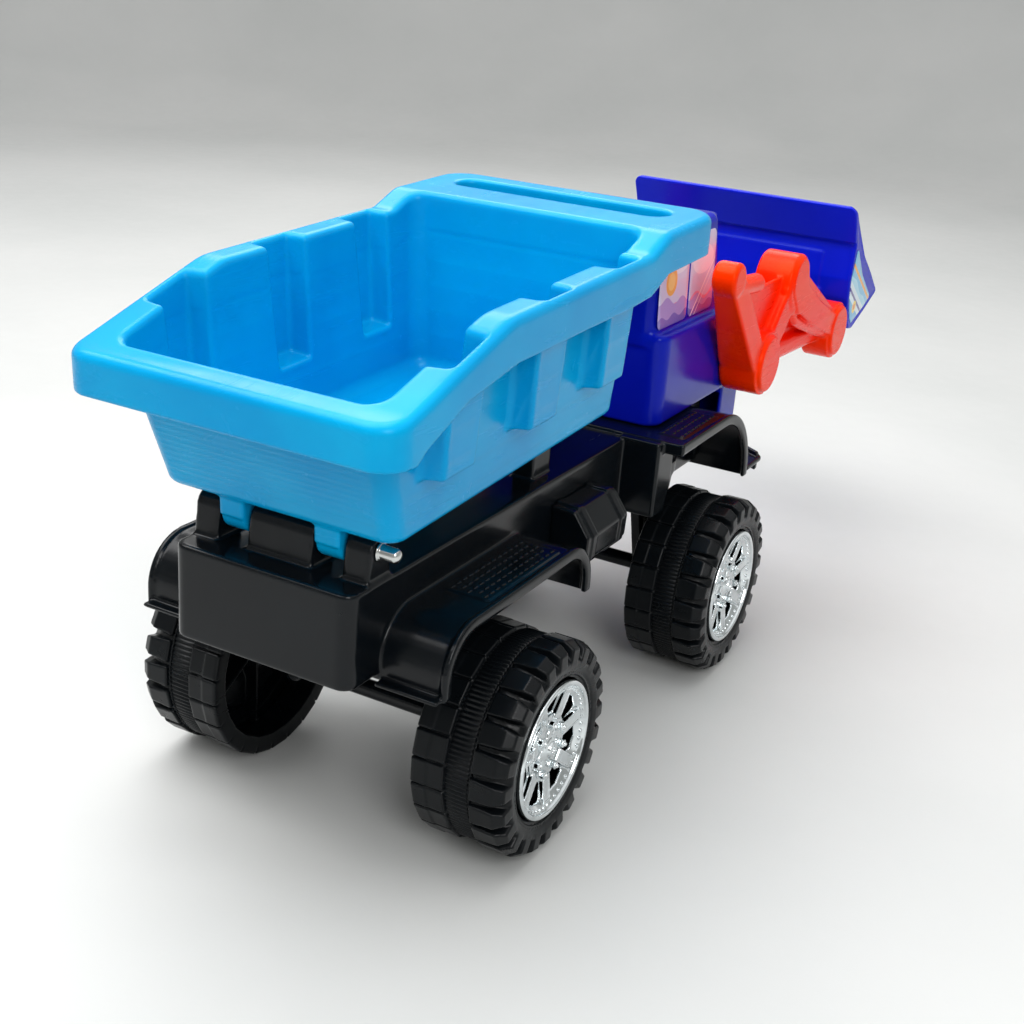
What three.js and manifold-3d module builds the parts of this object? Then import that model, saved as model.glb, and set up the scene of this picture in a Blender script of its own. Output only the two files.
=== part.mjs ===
// Push along truck: a toy tipper with a loader bucket in front, standing on four chunky wheels.
// Millimetres, +X forward, +Y to the truck's left, +Z up. While it is built, x is counted from the
// rear axle and z from the ground; the last lines move the group so that x = 0 is mid length.
import * as THREE from "three";
import { mergeVertices } from "three/addons/utils/BufferGeometryUtils.js";
import Module from "manifold-3d";

const wasm = await Module();
wasm.setup();

// ---------------------------------------------------------------- driving dimensions
const GAP = 0.3; // between pieces that touch
const WALL = 3; // moulded wall thickness
const WHEEL_RADIUS = 80;
const WHEELBASE = 351;
const WHEEL_INNER_Y = 85; // inner face of a wheel
const WHEEL_OUTER_Y = 157.5; // outer face of a wheel
const LUG_COUNT = 24;
const LUG_HEIGHT = 9;
const AXLE_ROD_RADIUS = 3; // every steel rod in the truck is 6 mm thick
const BORE_RADIUS = AXLE_ROD_RADIUS + GAP;

const FRAME_REAR_X = -139;
const FRAME_FRONT_X = 448;
const FRAME_HALF_WIDTH = 72;
const FRAME_BOTTOM_Z = 158;
const FRAME_TOP_Z = 226;
const FENDER_HALF_WIDTH = 124;
const DECK_REAR_X = 270;
const DECK_TOP_Z = 229;

const TIP_PIVOT = { x: -105, z: 246 };
const BIN_FLOOR_Z = 259.5; // underside of the bin, drawn level
const BIN_TILT = THREE.MathUtils.degToRad(2.5); // the bin rests with its front a little high
const LIFT_PIVOT = { x: 460, z: 261 };
const BUCKET_PIVOT = { x: 684, z: 251 };
const ARM_INNER_Y = 88.6;
const ARM_OUTER_Y = 126;

// ---------------------------------------------------------------- materials
const plastic = (color, roughness = 0.3) =>
  new THREE.MeshStandardMaterial({ color, roughness, metalness: 0 });
const metal = (color, roughness) => new THREE.MeshStandardMaterial({ color, roughness, metalness: 1 });
const binBlue = () => plastic(0x0096d7);
const cabBlue = () => plastic(0x121aa8, 0.25);
const armRed = () => plastic(0xff4628, 0.35);
const frameBlack = () => plastic(0x0a0e12, 0.25);
const tyreBlack = () => plastic(0x0b0d10, 0.45);
const chrome = () => metal(0xdfe4e6, 0.08);
const steel = () => metal(0xb4b8bc, 0.3);
const decal = () => plastic(0xe6e2ea, 0.35);
const screwSteel = () => metal(0x9a9da1, 0.35);

// ---------------------------------------------------------------- solids
function solid(geometry) {
  const bare = geometry.clone();
  bare.deleteAttribute("normal");
  bare.deleteAttribute("uv");
  const merged = mergeVertices(bare, 1e-4);
  const indices = merged.index.array;
  const triangles = [];
  for (let i = 0; i < indices.length; i += 3) {
    const [a, b, c] = [indices[i], indices[i + 1], indices[i + 2]];
    if (a !== b && b !== c && c !== a) triangles.push(a, b, c);
  }
  const build = (triVerts) =>
    new wasm.Manifold(
      new wasm.Mesh({
        numProp: 3,
        vertProperties: new Float32Array(merged.attributes.position.array),
        triVerts: new Uint32Array(triVerts),
      }),
    );
  const first = build(triangles);
  if (first.volume() > 0) return first;
  const reversed = [];
  for (let i = 0; i < triangles.length; i += 3) reversed.push(triangles[i], triangles[i + 2], triangles[i + 1]);
  return build(reversed);
}
const union = (...pieces) => pieces.reduce((a, b) => a.add(b));
const cut = (body, ...tools) => tools.reduce((a, b) => a.subtract(b), body);

function toGeometry(manifold) {
  const mesh = manifold.getMesh();
  const geometry = new THREE.BufferGeometry();
  geometry.setAttribute("position", new THREE.BufferAttribute(Float32Array.from(mesh.vertProperties), 3));
  geometry.setIndex(new THREE.BufferAttribute(Uint32Array.from(mesh.triVerts), 1));
  return geometry;
}

// ---------------------------------------------------------------- outlines and prisms
const polygon = (points) => new THREE.Shape(points.map(([a, b]) => new THREE.Vector2(a, b)));

function roundedRectangle(a0, a1, b0, b1, radius) {
  const shape = new THREE.Shape();
  shape.absarc(a1 - radius, b0 + radius, radius, -Math.PI / 2, 0);
  shape.absarc(a1 - radius, b1 - radius, radius, 0, Math.PI / 2);
  shape.absarc(a0 + radius, b1 - radius, radius, Math.PI / 2, Math.PI);
  shape.absarc(a0 + radius, b0 + radius, radius, Math.PI, Math.PI * 1.5);
  shape.closePath();
  return shape;
}

const extrude = (shape, depth, curveSegments) =>
  new THREE.ExtrudeGeometry(shape, { depth, bevelEnabled: false, curveSegments });

// A plan outline (x, y) from z0 up to z1.
const prismZ = (shape, z0, z1, segments = 3) => solid(extrude(shape, z1 - z0, segments).translate(0, 0, z0));

// A side outline (x, z) from y0 to y1.
function prismY(shape, y0, y1, segments = 5) {
  const geometry = extrude(shape, y1 - y0, segments);
  return solid(geometry.rotateX(Math.PI / 2).translate(0, y1, 0));
}

// A cross-section (y, z) from x0 to x1.
function prismX(shape, x0, x1, segments = 3) {
  const toX = new THREE.Matrix4().makeBasis(
    new THREE.Vector3(0, 1, 0),
    new THREE.Vector3(0, 0, 1),
    new THREE.Vector3(1, 0, 0),
  );
  return solid(extrude(shape, x1 - x0, segments).applyMatrix4(toX).translate(x0, 0, 0));
}

const box = (x0, x1, y0, y1, z0, z1) =>
  solid(new THREE.BoxGeometry(x1 - x0, y1 - y0, z1 - z0).translate((x0 + x1) / 2, (y0 + y1) / 2, (z0 + z1) / 2));

// A solid turned about a line parallel to Y through (x, z); the profile is (radius, y).
function turnedY(profile, x, z, segments = 24) {
  const points = [...profile, profile[0]].map(([radius, y]) => new THREE.Vector2(radius, y));
  return solid(new THREE.LatheGeometry(points, segments).translate(x, 0, z));
}
const rodY = (x, z, radius, y0, y1, segments = 16) =>
  turnedY([[0, y0], [radius, y0], [radius, y1], [0, y1]], x, z, segments);

// A vertical rod.
const rodZ = (x, y, radius, z0, z1, segments = 8) =>
  solid(new THREE.CylinderGeometry(radius, radius, z1 - z0, segments).rotateX(Math.PI / 2).translate(x, y, (z0 + z1) / 2));

// A solid with straight sides between two plan outlines with the same number of points.
function loft(lower, z0, upper, z1, segments = 4) {
  const a = lower.getPoints(segments);
  const b = upper.getPoints(segments);
  const count = a.length - 1;
  const positions = [];
  a.slice(0, count).forEach((p) => positions.push(p.x, p.y, z0));
  b.slice(0, count).forEach((p) => positions.push(p.x, p.y, z1));
  const index = [];
  for (let i = 0; i < count; i++) {
    const j = (i + 1) % count;
    index.push(i, j, count + j, i, count + j, count + i);
    if (i > 0 && i < count - 1) index.push(0, i + 1, i, count, count + i, count + i + 1);
  }
  const geometry = new THREE.BufferGeometry();
  geometry.setAttribute("position", new THREE.Float32BufferAttribute(positions, 3));
  geometry.setIndex(index);
  return solid(geometry);
}

// A block with eight chosen corners: four below (counter-clockwise), then the four above them.
function block(corners) {
  const geometry = new THREE.BufferGeometry();
  geometry.setAttribute("position", new THREE.Float32BufferAttribute(corners.flat(), 3));
  geometry.setIndex([
    0, 2, 1, 0, 3, 2, 4, 5, 6, 4, 6, 7, 0, 1, 5, 0, 5, 4, 1, 2, 6, 1, 6, 5, 2, 3, 7, 2, 7, 6, 3, 0, 4, 3, 4, 7,
  ]);
  return solid(geometry);
}

// A bar with round ends in the side view, between two points, as thick in Y as y0 to y1.
function barY(from, to, radiusFrom, radiusTo, y0, y1) {
  const angle = Math.atan2(to.z - from.z, to.x - from.x);
  const shape = new THREE.Shape();
  shape.absarc(from.x, from.z, radiusFrom, angle + Math.PI / 2, angle + Math.PI * 1.5);
  shape.absarc(to.x, to.z, radiusTo, angle - Math.PI / 2, angle + Math.PI / 2);
  shape.closePath();
  return prismY(shape, y0, y1, 7);
}

// ---------------------------------------------------------------- the truck
const truck = new THREE.Group();

function place(name, manifold, material, parent = truck) {
  const mesh = new THREE.Mesh(toGeometry(manifold), material);
  mesh.name = name;
  parent.add(mesh);
  return mesh;
}

// The same solid on the other side of the truck.
function flipY(manifold) {
  return solid(toGeometry(manifold).scale(1, -1, 1));
}
const SIDES = [
  ["left", (piece) => piece],
  ["right", (piece) => flipY(piece)],
];

// ---------------------------------------------------------------- wheels
const SEAM_Y = 131; // where the inner and outer tyre mouldings meet
const BAND_INNER_Y = 111; // the ribbed band runs from here to the seam
const ROOT_RADIUS = WHEEL_RADIUS - LUG_HEIGHT;
const SKIN_RADIUS = ROOT_RADIUS - 4;
const PLATE_ROOT_RADIUS = 77.5; // the inner moulding carries wide plates with thin gaps
const CAP_SEAT_RADIUS = 52;

// A toothed body along Y: every station has a root radius, a tip radius and half a tooth's width.
function toothed(stations) {
  const outline = ({ y, root, tip, half }) =>
    Array.from({ length: LUG_COUNT }, (_, i) => {
      const angle = -Math.PI / 2 + (i * 2 * Math.PI) / LUG_COUNT;
      return [[root, -half], [tip, -half], [tip, half], [root, half]].map(([r, h]) => [
        Math.cos(angle) * r - Math.sin(angle) * h, y, Math.sin(angle) * r + Math.cos(angle) * h,
      ]);
    }).flat();
  const rings = stations.map(outline);
  const count = rings[0].length;
  const index = [];
  for (let k = 0; k + 1 < rings.length; k++)
    for (let i = 0; i < count; i++) {
      const [a, b] = [k * count + i, k * count + ((i + 1) % count)];
      index.push(a, b, b + count, a, b + count, a + count);
    }
  const flat = (ring) => ring.map(([x, , z]) => new THREE.Vector2(x, z));
  const last = (rings.length - 1) * count;
  for (const [a, b, c] of THREE.ShapeUtils.triangulateShape(flat(rings[0]), [])) index.push(a, c, b);
  for (const [a, b, c] of THREE.ShapeUtils.triangulateShape(flat(rings[rings.length - 1]), []))
    index.push(last + a, last + b, last + c);
  const geometry = new THREE.BufferGeometry();
  geometry.setAttribute("position", new THREE.Float32BufferAttribute(rings.flat(2), 3));
  geometry.setIndex(index);
  return solid(geometry);
}

function tyreOuter() {
  const [root, tip] = [ROOT_RADIUS, WHEEL_RADIUS];
  const body = toothed([
    { y: SEAM_Y + GAP, root: root + 4.5, tip, half: 8.6 },
    { y: 149, root: root + 1, tip, half: 7.4 },
    { y: 156, root: 66, tip: tip - 4, half: 5.2 },
    { y: WHEEL_OUTER_Y, root: 61, tip: 62, half: 5 },
  ]);
  const inside = turnedY(
    [
      [0, SEAM_Y - 1], [SKIN_RADIUS, SEAM_Y - 1], [SKIN_RADIUS, 145], [58, 149], [CAP_SEAT_RADIUS, 149],
      [CAP_SEAT_RADIUS, WHEEL_OUTER_Y + 1], [0, WHEEL_OUTER_Y + 1],
    ],
    0, 0, LUG_COUNT,
  );
  return cut(body, inside);
}

function tyreInner() {
  const treads = toothed([
    { y: WHEEL_INNER_Y, root: PLATE_ROOT_RADIUS, tip: WHEEL_RADIUS, half: 9.4 },
    { y: BAND_INNER_Y, root: PLATE_ROOT_RADIUS, tip: WHEEL_RADIUS, half: 9.4 },
  ]);
  const band = rodY(0, 0, 77, BAND_INNER_Y - 1, SEAM_Y, LUG_COUNT);
  const innerHollow = rodY(0, 0, PLATE_ROOT_RADIUS - 5, WHEEL_INNER_Y - 1, 122, LUG_COUNT);
  const outerHollow = rodY(0, 0, SKIN_RADIUS, 126, SEAM_Y + 1, LUG_COUNT);
  const hub = rodY(0, 0, 9, 104, 145.6, 12);
  const bore = rodY(0, 0, BORE_RADIUS, 100, 150, 12);
  return cut(union(cut(union(treads, band), innerHollow, outerHollow), hub), bore);
}

const SPOKES = 7;
const NUTS = 7;

function hubcap() {
  const dish = turnedY(
    [
      [0, 151.5], [0, 155], [8, 153.5], [14, 149], [41, 148.6], [45, 156.6], [51, 157],
      [CAP_SEAT_RADIUS - 0.8, 149.4], [44, 146], [9.5, 146], [7, 151.5],
    ],
    0, 0, SPOKES * 3,
  );
  const windows = Array.from({ length: SPOKES }, (_, i) => {
    const middle = Math.PI / 2 + (i * 2 * Math.PI) / SPOKES;
    const corners = [[25, -0.24], [39.5, -0.29], [39.5, 0.29], [25, 0.24]];
    const outline = corners.map(([r, a]) => [r * Math.cos(middle + a), r * Math.sin(middle + a)]);
    return prismY(polygon(outline), 140, 156);
  });
  const nuts = Array.from({ length: NUTS }, (_, i) => {
    const angle = ((i + 0.5) * 2 * Math.PI) / NUTS;
    return rodY(18.5 * Math.cos(angle), 18.5 * Math.sin(angle), 2.8, 147, 152.6, 5);
  });
  return union(cut(dish, ...windows), ...nuts);
}

const AXLE_END_Y = 147;
const axleCap = () =>
  turnedY(
    [
      [BORE_RADIUS, 145.9], [5.4, 145.9], [5.4, 148], [4.2, 149.6], [0, 150.4], [0, AXLE_END_Y + GAP],
      [BORE_RADIUS, AXLE_END_Y + GAP],
    ],
    0, 0, 12,
  );

const wheelPieces = {
  tyre_outer: [tyreOuter(), tyreBlack],
  tyre_inner: [tyreInner(), tyreBlack],
  hubcap: [hubcap(), chrome],
  axle_cap: [axleCap(), steel],
};
for (const [end, x] of [["rear", 0], ["front", WHEELBASE]]) {
  for (const [side, toSide] of SIDES) {
    const wheel = new THREE.Group();
    wheel.position.set(x, 0, WHEEL_RADIUS);
    truck.add(wheel);
    for (const [piece, [shape, material]] of Object.entries(wheelPieces))
      place(`${piece}_${end}_${side}`, toSide(shape), material(), wheel);
  }
  place(`${end}_axle`, rodY(x, WHEEL_RADIUS, AXLE_ROD_RADIUS, -AXLE_END_Y, AXLE_END_Y, 12), steel());
}

// ---------------------------------------------------------------- chassis
// A fender's side outline: a strip of constant thickness that follows a line of straights and arcs.
function strip(outer, inner) {
  return polygon([...outer, ...inner.reverse()]);
}
function arcPoints(cx, cz, radius, from, to, steps = 5) {
  return Array.from({ length: steps + 1 }, (_, i) => {
    const angle = THREE.MathUtils.degToRad(from + ((to - from) * i) / steps);
    return [cx + radius * Math.cos(angle), cz + radius * Math.sin(angle)];
  });
}

const REAR_FENDER = { halfLength: 104, top: 200, corner: 34, rearBottom: 154, frontBottom: 158 };
function rearFenderLine(offset) {
  const { halfLength, top, corner, rearBottom, frontBottom } = REAR_FENDER;
  const cx = halfLength - corner;
  const cz = top - corner;
  return [
    [-halfLength + offset, rearBottom],
    ...arcPoints(-cx, cz, corner - offset, 180, 90),
    ...arcPoints(cx, cz, corner - offset, 90, 0),
    [halfLength - offset, frontBottom],
  ];
}

const FRONT_FENDER = { arcX: 372, arcZ: 153, radius: DECK_TOP_Z - 153 };
function frontFenderLine(offset) {
  const { arcX, arcZ, radius } = FRONT_FENDER;
  return [[DECK_REAR_X, DECK_TOP_Z - offset], ...arcPoints(arcX, arcZ, radius - offset, 90, 0, 8)];
}

function lugShape(pivot, radius, base, halfBase) {
  const shape = new THREE.Shape();
  shape.moveTo(pivot.x - halfBase, base);
  shape.lineTo(pivot.x + halfBase, base);
  shape.absarc(pivot.x, pivot.z, radius, 0, Math.PI);
  shape.closePath();
  return shape;
}

function legShape(axleX) {
  const shape = new THREE.Shape();
  shape.moveTo(axleX + 40, FRAME_BOTTOM_Z + 6);
  shape.lineTo(axleX - 40, FRAME_BOTTOM_Z + 6);
  shape.absarc(axleX, WHEEL_RADIUS, 13, Math.PI + 0.2, 2 * Math.PI - 0.2);
  shape.closePath();
  return shape;
}

const CAB_SCREWS = [[312, 79], [362, 79]];
const REST_BLOCK_X = [120, 150];
const binBottomZ = (x) =>
  TIP_PIVOT.z + (BIN_FLOOR_Z - TIP_PIVOT.z) / Math.cos(BIN_TILT) + (x - TIP_PIVOT.x) * Math.tan(BIN_TILT);

function chassis() {
  const shell = cut(
    prismZ(roundedRectangle(FRAME_REAR_X, FRAME_FRONT_X, -FRAME_HALF_WIDTH, FRAME_HALF_WIDTH, 11), FRAME_BOTTOM_Z, FRAME_TOP_Z),
    prismZ(
      roundedRectangle(FRAME_REAR_X + WALL, FRAME_FRONT_X - WALL, -FRAME_HALF_WIDTH + WALL, FRAME_HALF_WIDTH - WALL, 8),
      FRAME_BOTTOM_Z - 1, FRAME_TOP_Z - WALL,
    ),
  );
  const deck = prismY(strip(frontFenderLine(0), frontFenderLine(3.5)), -FENDER_HALF_WIDTH, FENDER_HALF_WIDTH);
  const bores = [0, WHEELBASE].map((x) => rodY(x, WHEEL_RADIUS, BORE_RADIUS, -90, 90, 12));
  const axleTubes = [0, WHEELBASE].map((x) => rodY(x, WHEEL_RADIUS - 2, 7, -63, 63, 12));
  const hinge = [[50, 70], [-70, -50], [-26, 26]].map(([y0, y1]) =>
    prismY(lugShape(TIP_PIVOT, 11, FRAME_TOP_Z - 1, 13), y0, y1, 7),
  );
  const sideParts = [];
  for (const [, toSide] of SIDES) {
    const legs = [0, WHEELBASE].map((x) => prismY(legShape(x), 62, FRAME_HALF_WIDTH, 6));
    const fender = prismY(strip(rearFenderLine(0), rearFenderLine(WALL)), FRAME_HALF_WIDTH - 1, FENDER_HALF_WIDTH);
    const rearBead = prismY(strip(rearFenderLine(-2), rearFenderLine(7)), FENDER_HALF_WIDTH - 4.5, FENDER_HALF_WIDTH);
    const rearFlange = box(-REAR_FENDER.halfLength - 9, -REAR_FENDER.halfLength + 1, 74, 122, 154, 157);
    const frontBead = prismY(strip(frontFenderLine(0), frontFenderLine(9)), FENDER_HALF_WIDTH - 3.5, FENDER_HALF_WIDTH);
    const deckLip = box(DECK_REAR_X - 0.5, DECK_REAR_X + 3, 60, FENDER_HALF_WIDTH, 219, DECK_TOP_Z);
    const pod = cut(
      prismY(polygon([[262, 161], [286, 161], [296, 186], [296, 227], [262, 227]]), FRAME_HALF_WIDTH - 1, 106),
      prismY(polygon([[265, 155], [300, 155], [300, 226.2], [265, 226.2]]), FRAME_HALF_WIDTH - 2, 103),
    );
    const rearTread = box(-42, 66, 80, 116, REAR_FENDER.top - 1, REAR_FENDER.top + 1);
    const frontTread = box(286, 368, 92, 117, DECK_TOP_Z - 1, DECK_TOP_Z + 1);
    const [rest0, rest1] = REST_BLOCK_X;
    const rest = prismY(
      polygon([[rest0, FRAME_TOP_Z - 1], [rest1, FRAME_TOP_Z - 1], [rest1, binBottomZ(rest1) - GAP], [rest0, binBottomZ(rest0) - GAP]]),
      42, 60,
    );
    sideParts.push(
      ...[...legs, fender, rearBead, rearFlange, frontBead, deckLip, pod, rearTread, frontTread, rest].map(toSide),
    );
  }
  const screwHoles = CAB_SCREWS.flatMap(([x, y]) => [rodZ(x, y, 2.3, 215, 235), rodZ(x, -y, 2.3, 215, 235)]);
  const hingeBore = rodY(TIP_PIVOT.x, TIP_PIVOT.z, BORE_RADIUS, -90, 90, 12);
  const inside = prismZ(
    roundedRectangle(FRAME_REAR_X + WALL, FRAME_FRONT_X - WALL, -62, 62, 8), FRAME_BOTTOM_Z - 1, FRAME_TOP_Z - WALL,
  );
  return cut(union(shell, deck, ...axleTubes, ...hinge, ...sideParts), ...bores, ...screwHoles, hingeBore, inside);
}
place("chassis", chassis(), frameBlack());

// Storage tank on each side, between the wheels, held by two straps.
const TANK_SECTION = [[72.3, 205], [92, 203.5], [106, 184], [105, 165], [93, 153], [72.3, 153]];
const TANK_CENTRE = [86, 179];
const scaledTank = (factor) =>
  TANK_SECTION.map(([y, z], i) => {
    const onFrame = i === 0 || i === TANK_SECTION.length - 1;
    return [onFrame ? y : TANK_CENTRE[0] + (y - TANK_CENTRE[0]) * factor, TANK_CENTRE[1] + (z - TANK_CENTRE[1]) * factor];
  });
function sideTank() {
  const body = prismX(polygon(scaledTank(1)), 134, 208);
  const straps = [[141, 150], [192, 201]].map(([x0, x1]) => prismX(polygon(scaledTank(1.07)), x0, x1));
  const hollow = scaledTank(0.86).map(([y, z]) => [y === 72.3 ? 70 : y, z]);
  return cut(union(body, ...straps), prismX(polygon(hollow), 137, 205));
}
for (const [side, toSide] of SIDES) place(`side_tank_${side}`, toSide(sideTank()), frameBlack());

// Step plate and bumper beam under the nose.
function frontBumper() {
  const plan = polygon([
    [FRAME_FRONT_X + GAP, -124], [490, -124], [514, -88], [514, 88], [490, 124], [FRAME_FRONT_X + GAP, 124],
  ]);
  const beam = polygon([[490, -120], [514, -86], [514, 86], [490, 120], [484, 120], [506, 84], [506, -84], [484, -120]]);
  return union(prismZ(plan, 156, 161), prismZ(beam, 146, 165));
}
place("front_bumper", frontBumper(), frameBlack());

// ---------------------------------------------------------------- cab
const CAB = { rear: 293.5, front: 509, half: 87, ledge: 310, roof: 398, windowRear: 293.5, upperHalf: 77, roofHalf: 73 };
const upperPlan = (inset, x1, half, radius) =>
  roundedRectangle(CAB.windowRear + inset, x1 - inset, -half + inset, half - inset, radius);

function cab() {
  const lowerOutline = polygon([
    [CAB.rear, DECK_TOP_Z + GAP], [CAB.rear, CAB.ledge - 5], [CAB.rear + 3, CAB.ledge], [450, CAB.ledge],
    [498, 302], [CAB.front - 1, 292], [CAB.front, 280], [CAB.front, 169], [452, 169], [452, DECK_TOP_Z + GAP],
  ]);
  const lowerHollow = polygon([
    [CAB.rear + WALL, DECK_TOP_Z - 1], [CAB.rear + WALL, CAB.ledge - WALL], [449, CAB.ledge - WALL], [495, 299],
    [CAB.front - WALL, 289], [CAB.front - WALL, 160], [455, 160], [455, DECK_TOP_Z - 1],
  ]);
  const plan = roundedRectangle(CAB.rear, CAB.front, -CAB.half, CAB.half, 16);
  const lower = prismY(lowerOutline, -CAB.half, CAB.half).intersect(prismZ(plan, 150, 330));
  const upper = loft(
    upperPlan(0, 446, CAB.upperHalf, 14), CAB.ledge - 2, upperPlan(0, 431, CAB.roofHalf, 12), CAB.roof,
  );
  const brow = prismZ(roundedRectangle(410, 438, -68, 68, 6), CAB.roof - 7, CAB.roof - 2);
  const lowerInside = prismY(lowerHollow, -CAB.half + WALL, CAB.half - WALL).intersect(
    prismZ(roundedRectangle(CAB.rear + WALL, CAB.front - WALL, -CAB.half + WALL, CAB.half - WALL, 13), 150, 330),
  );
  const upperInside = loft(
    upperPlan(WALL, 446, CAB.upperHalf, 11), CAB.ledge - 6, upperPlan(WALL, 431, CAB.roofHalf, 9), CAB.roof - WALL,
  );
  const grilleBars = Array.from({ length: 6 }, (_, i) => box(CAB.front - 1, CAB.front + 2.5, -46, 46, 196 + i * 13, 203 + i * 13));
  const lamps = [-66, 66].map((y) =>
    prismX(roundedRectangle(y - 13, y + 13, 214, 246, 6), CAB.front - 1, CAB.front + 3),
  );
  const sideParts = SIDES.flatMap(([, toSide]) => [
    ...CAB_SCREWS.map(([x, y]) => toSide(rodZ(x, y, 7, DECK_TOP_Z + GAP, 252))),
    toSide(rodY(LIFT_PIVOT.x, LIFT_PIVOT.z, 16, CAB.half - 8, CAB.half + 1, 24)),
  ]);
  const holes = SIDES.flatMap(([, toSide]) => [
    ...CAB_SCREWS.map(([x, y]) => toSide(rodZ(x, y, 2.3, 220, 247))),
    toSide(rodY(LIFT_PIVOT.x, LIFT_PIVOT.z, 7 + GAP, 70, 100, 20)),
  ]);
  const shell = cut(union(lower, upper, brow), lowerInside, upperInside);
  return cut(union(shell, ...grilleBars, ...lamps, ...sideParts), ...holes);
}
place("cab", cab(), cabBlue());

for (const [side, toSide] of SIDES)
  CAB_SCREWS.forEach(([x, y], i) => {
    const screw = union(rodZ(x, y, 2, 224, 244), rodZ(x, y, 4.5, 222, DECK_TOP_Z - 3.5 - GAP, 16));
    place(`cab_screw_${side}_${i + 1}`, toSide(screw), screwSteel());
  });

// Window pictures: thin labels on the sloping faces of the upper cab.
const LABEL = 0.6;
const faceY = (z) => CAB.upperHalf + ((CAB.roofHalf - CAB.upperHalf) * (z - CAB.ledge + 2)) / (CAB.roof - CAB.ledge + 2);
const faceX = (z) => 446 - (15 * (z - CAB.ledge + 2)) / (CAB.roof - CAB.ledge + 2);
function windowLabel(x0, x1, z0, z1) {
  const at = (x, z, out) => [x, faceY(z) + out, z];
  return block([
    at(x0, z0, GAP), at(x1, z0, GAP), at(x1, z0, GAP + LABEL), at(x0, z0, GAP + LABEL),
    at(x0, z1, GAP), at(x1, z1, GAP), at(x1, z1, GAP + LABEL), at(x0, z1, GAP + LABEL),
  ]);
}
for (const [side, toSide] of SIDES) {
  place(`window_label_rear_${side}`, toSide(windowLabel(297, 360, 314, 386)), decal());
  place(`window_label_front_${side}`, toSide(windowLabel(364, 421, 314, 386)), decal());
}
function windscreenLabel() {
  const at = (y, z, out) => [faceX(z) + out, y, z];
  const [half, z0, z1] = [58, 316, 386];
  return block([
    at(-half, z0, GAP), at(-half, z0, GAP + LABEL), at(half, z0, GAP + LABEL), at(half, z0, GAP),
    at(-half, z1, GAP), at(-half, z1, GAP + LABEL), at(half, z1, GAP + LABEL), at(half, z1, GAP),
  ]);
}
place("windscreen_label", windscreenLabel(), decal());

// ---------------------------------------------------------------- dump bin
// The bin is drawn level, then its group leans it back about the hinge rod.
const binGroup = new THREE.Group();
binGroup.position.set(TIP_PIVOT.x, 0, TIP_PIVOT.z);
binGroup.rotation.y = -BIN_TILT;
truck.add(binGroup);

const BIN = {
  rear: -176, front: 297, half: 124.7, floor: BIN_FLOOR_Z, wallTopHalf: 105, wallBottomHalf: 93,
  backTop: -170, backBottom: -123, noseTop: 200.5, noseBottom: 190, skirt: 31,
};
const RIM_TOP = [[-190, 361], [-161, 361], [-43, 394], [166, 394], [197, 405], [310, 405]];
const rimOutline = (top, bottom) =>
  polygon([...RIM_TOP.map(([x, z]) => [x, z + top]), ...RIM_TOP.map(([x, z]) => [x, z + bottom]).reverse()]);
const binPlan = (inset, radius) =>
  roundedRectangle(BIN.rear + inset, BIN.front - inset, -BIN.half + inset, BIN.half - inset, radius);
const wallPlan = (x0, x1, half, radius) => roundedRectangle(x0, x1, -half, half, radius);
const LOFT_TOP_Z = 410;
const binWall = (inset, floor) => {
  const rise = (floor - BIN.floor) / (LOFT_TOP_Z - BIN.floor);
  const mix = (a, b) => a + (b - a) * rise;
  return loft(
    wallPlan(mix(BIN.backBottom, BIN.backTop) + inset, mix(BIN.noseBottom, BIN.noseTop) - inset,
      mix(BIN.wallBottomHalf, BIN.wallTopHalf) - inset, 14 - inset),
    floor,
    wallPlan(BIN.backTop + inset, BIN.noseTop - inset, BIN.wallTopHalf - inset, 16 - inset),
    LOFT_TOP_Z,
  );
};
const POCKETS = [-84, 26, 133]; // mid length of the three wall pockets on each side
const POCKET = { halfTop: 25, halfBottom: 20, floor: 304, top: LOFT_TOP_Z, outTop: 118, outBottom: 111 };
function pocket(x, grow) {
  const { halfTop, halfBottom, floor, top, outTop, outBottom } = POCKET;
  const [a, b] = [halfTop + grow, halfBottom + grow];
  const base = floor - grow;
  return block([
    [x - b, 80, base], [x + b, 80, base], [x + b - 4, outBottom + grow, base], [x - b + 4, outBottom + grow, base],
    [x - a, 80, top], [x + a, 80, top], [x + a - 4, outTop + grow, top], [x - a + 4, outTop + grow, top],
  ]);
}

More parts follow.
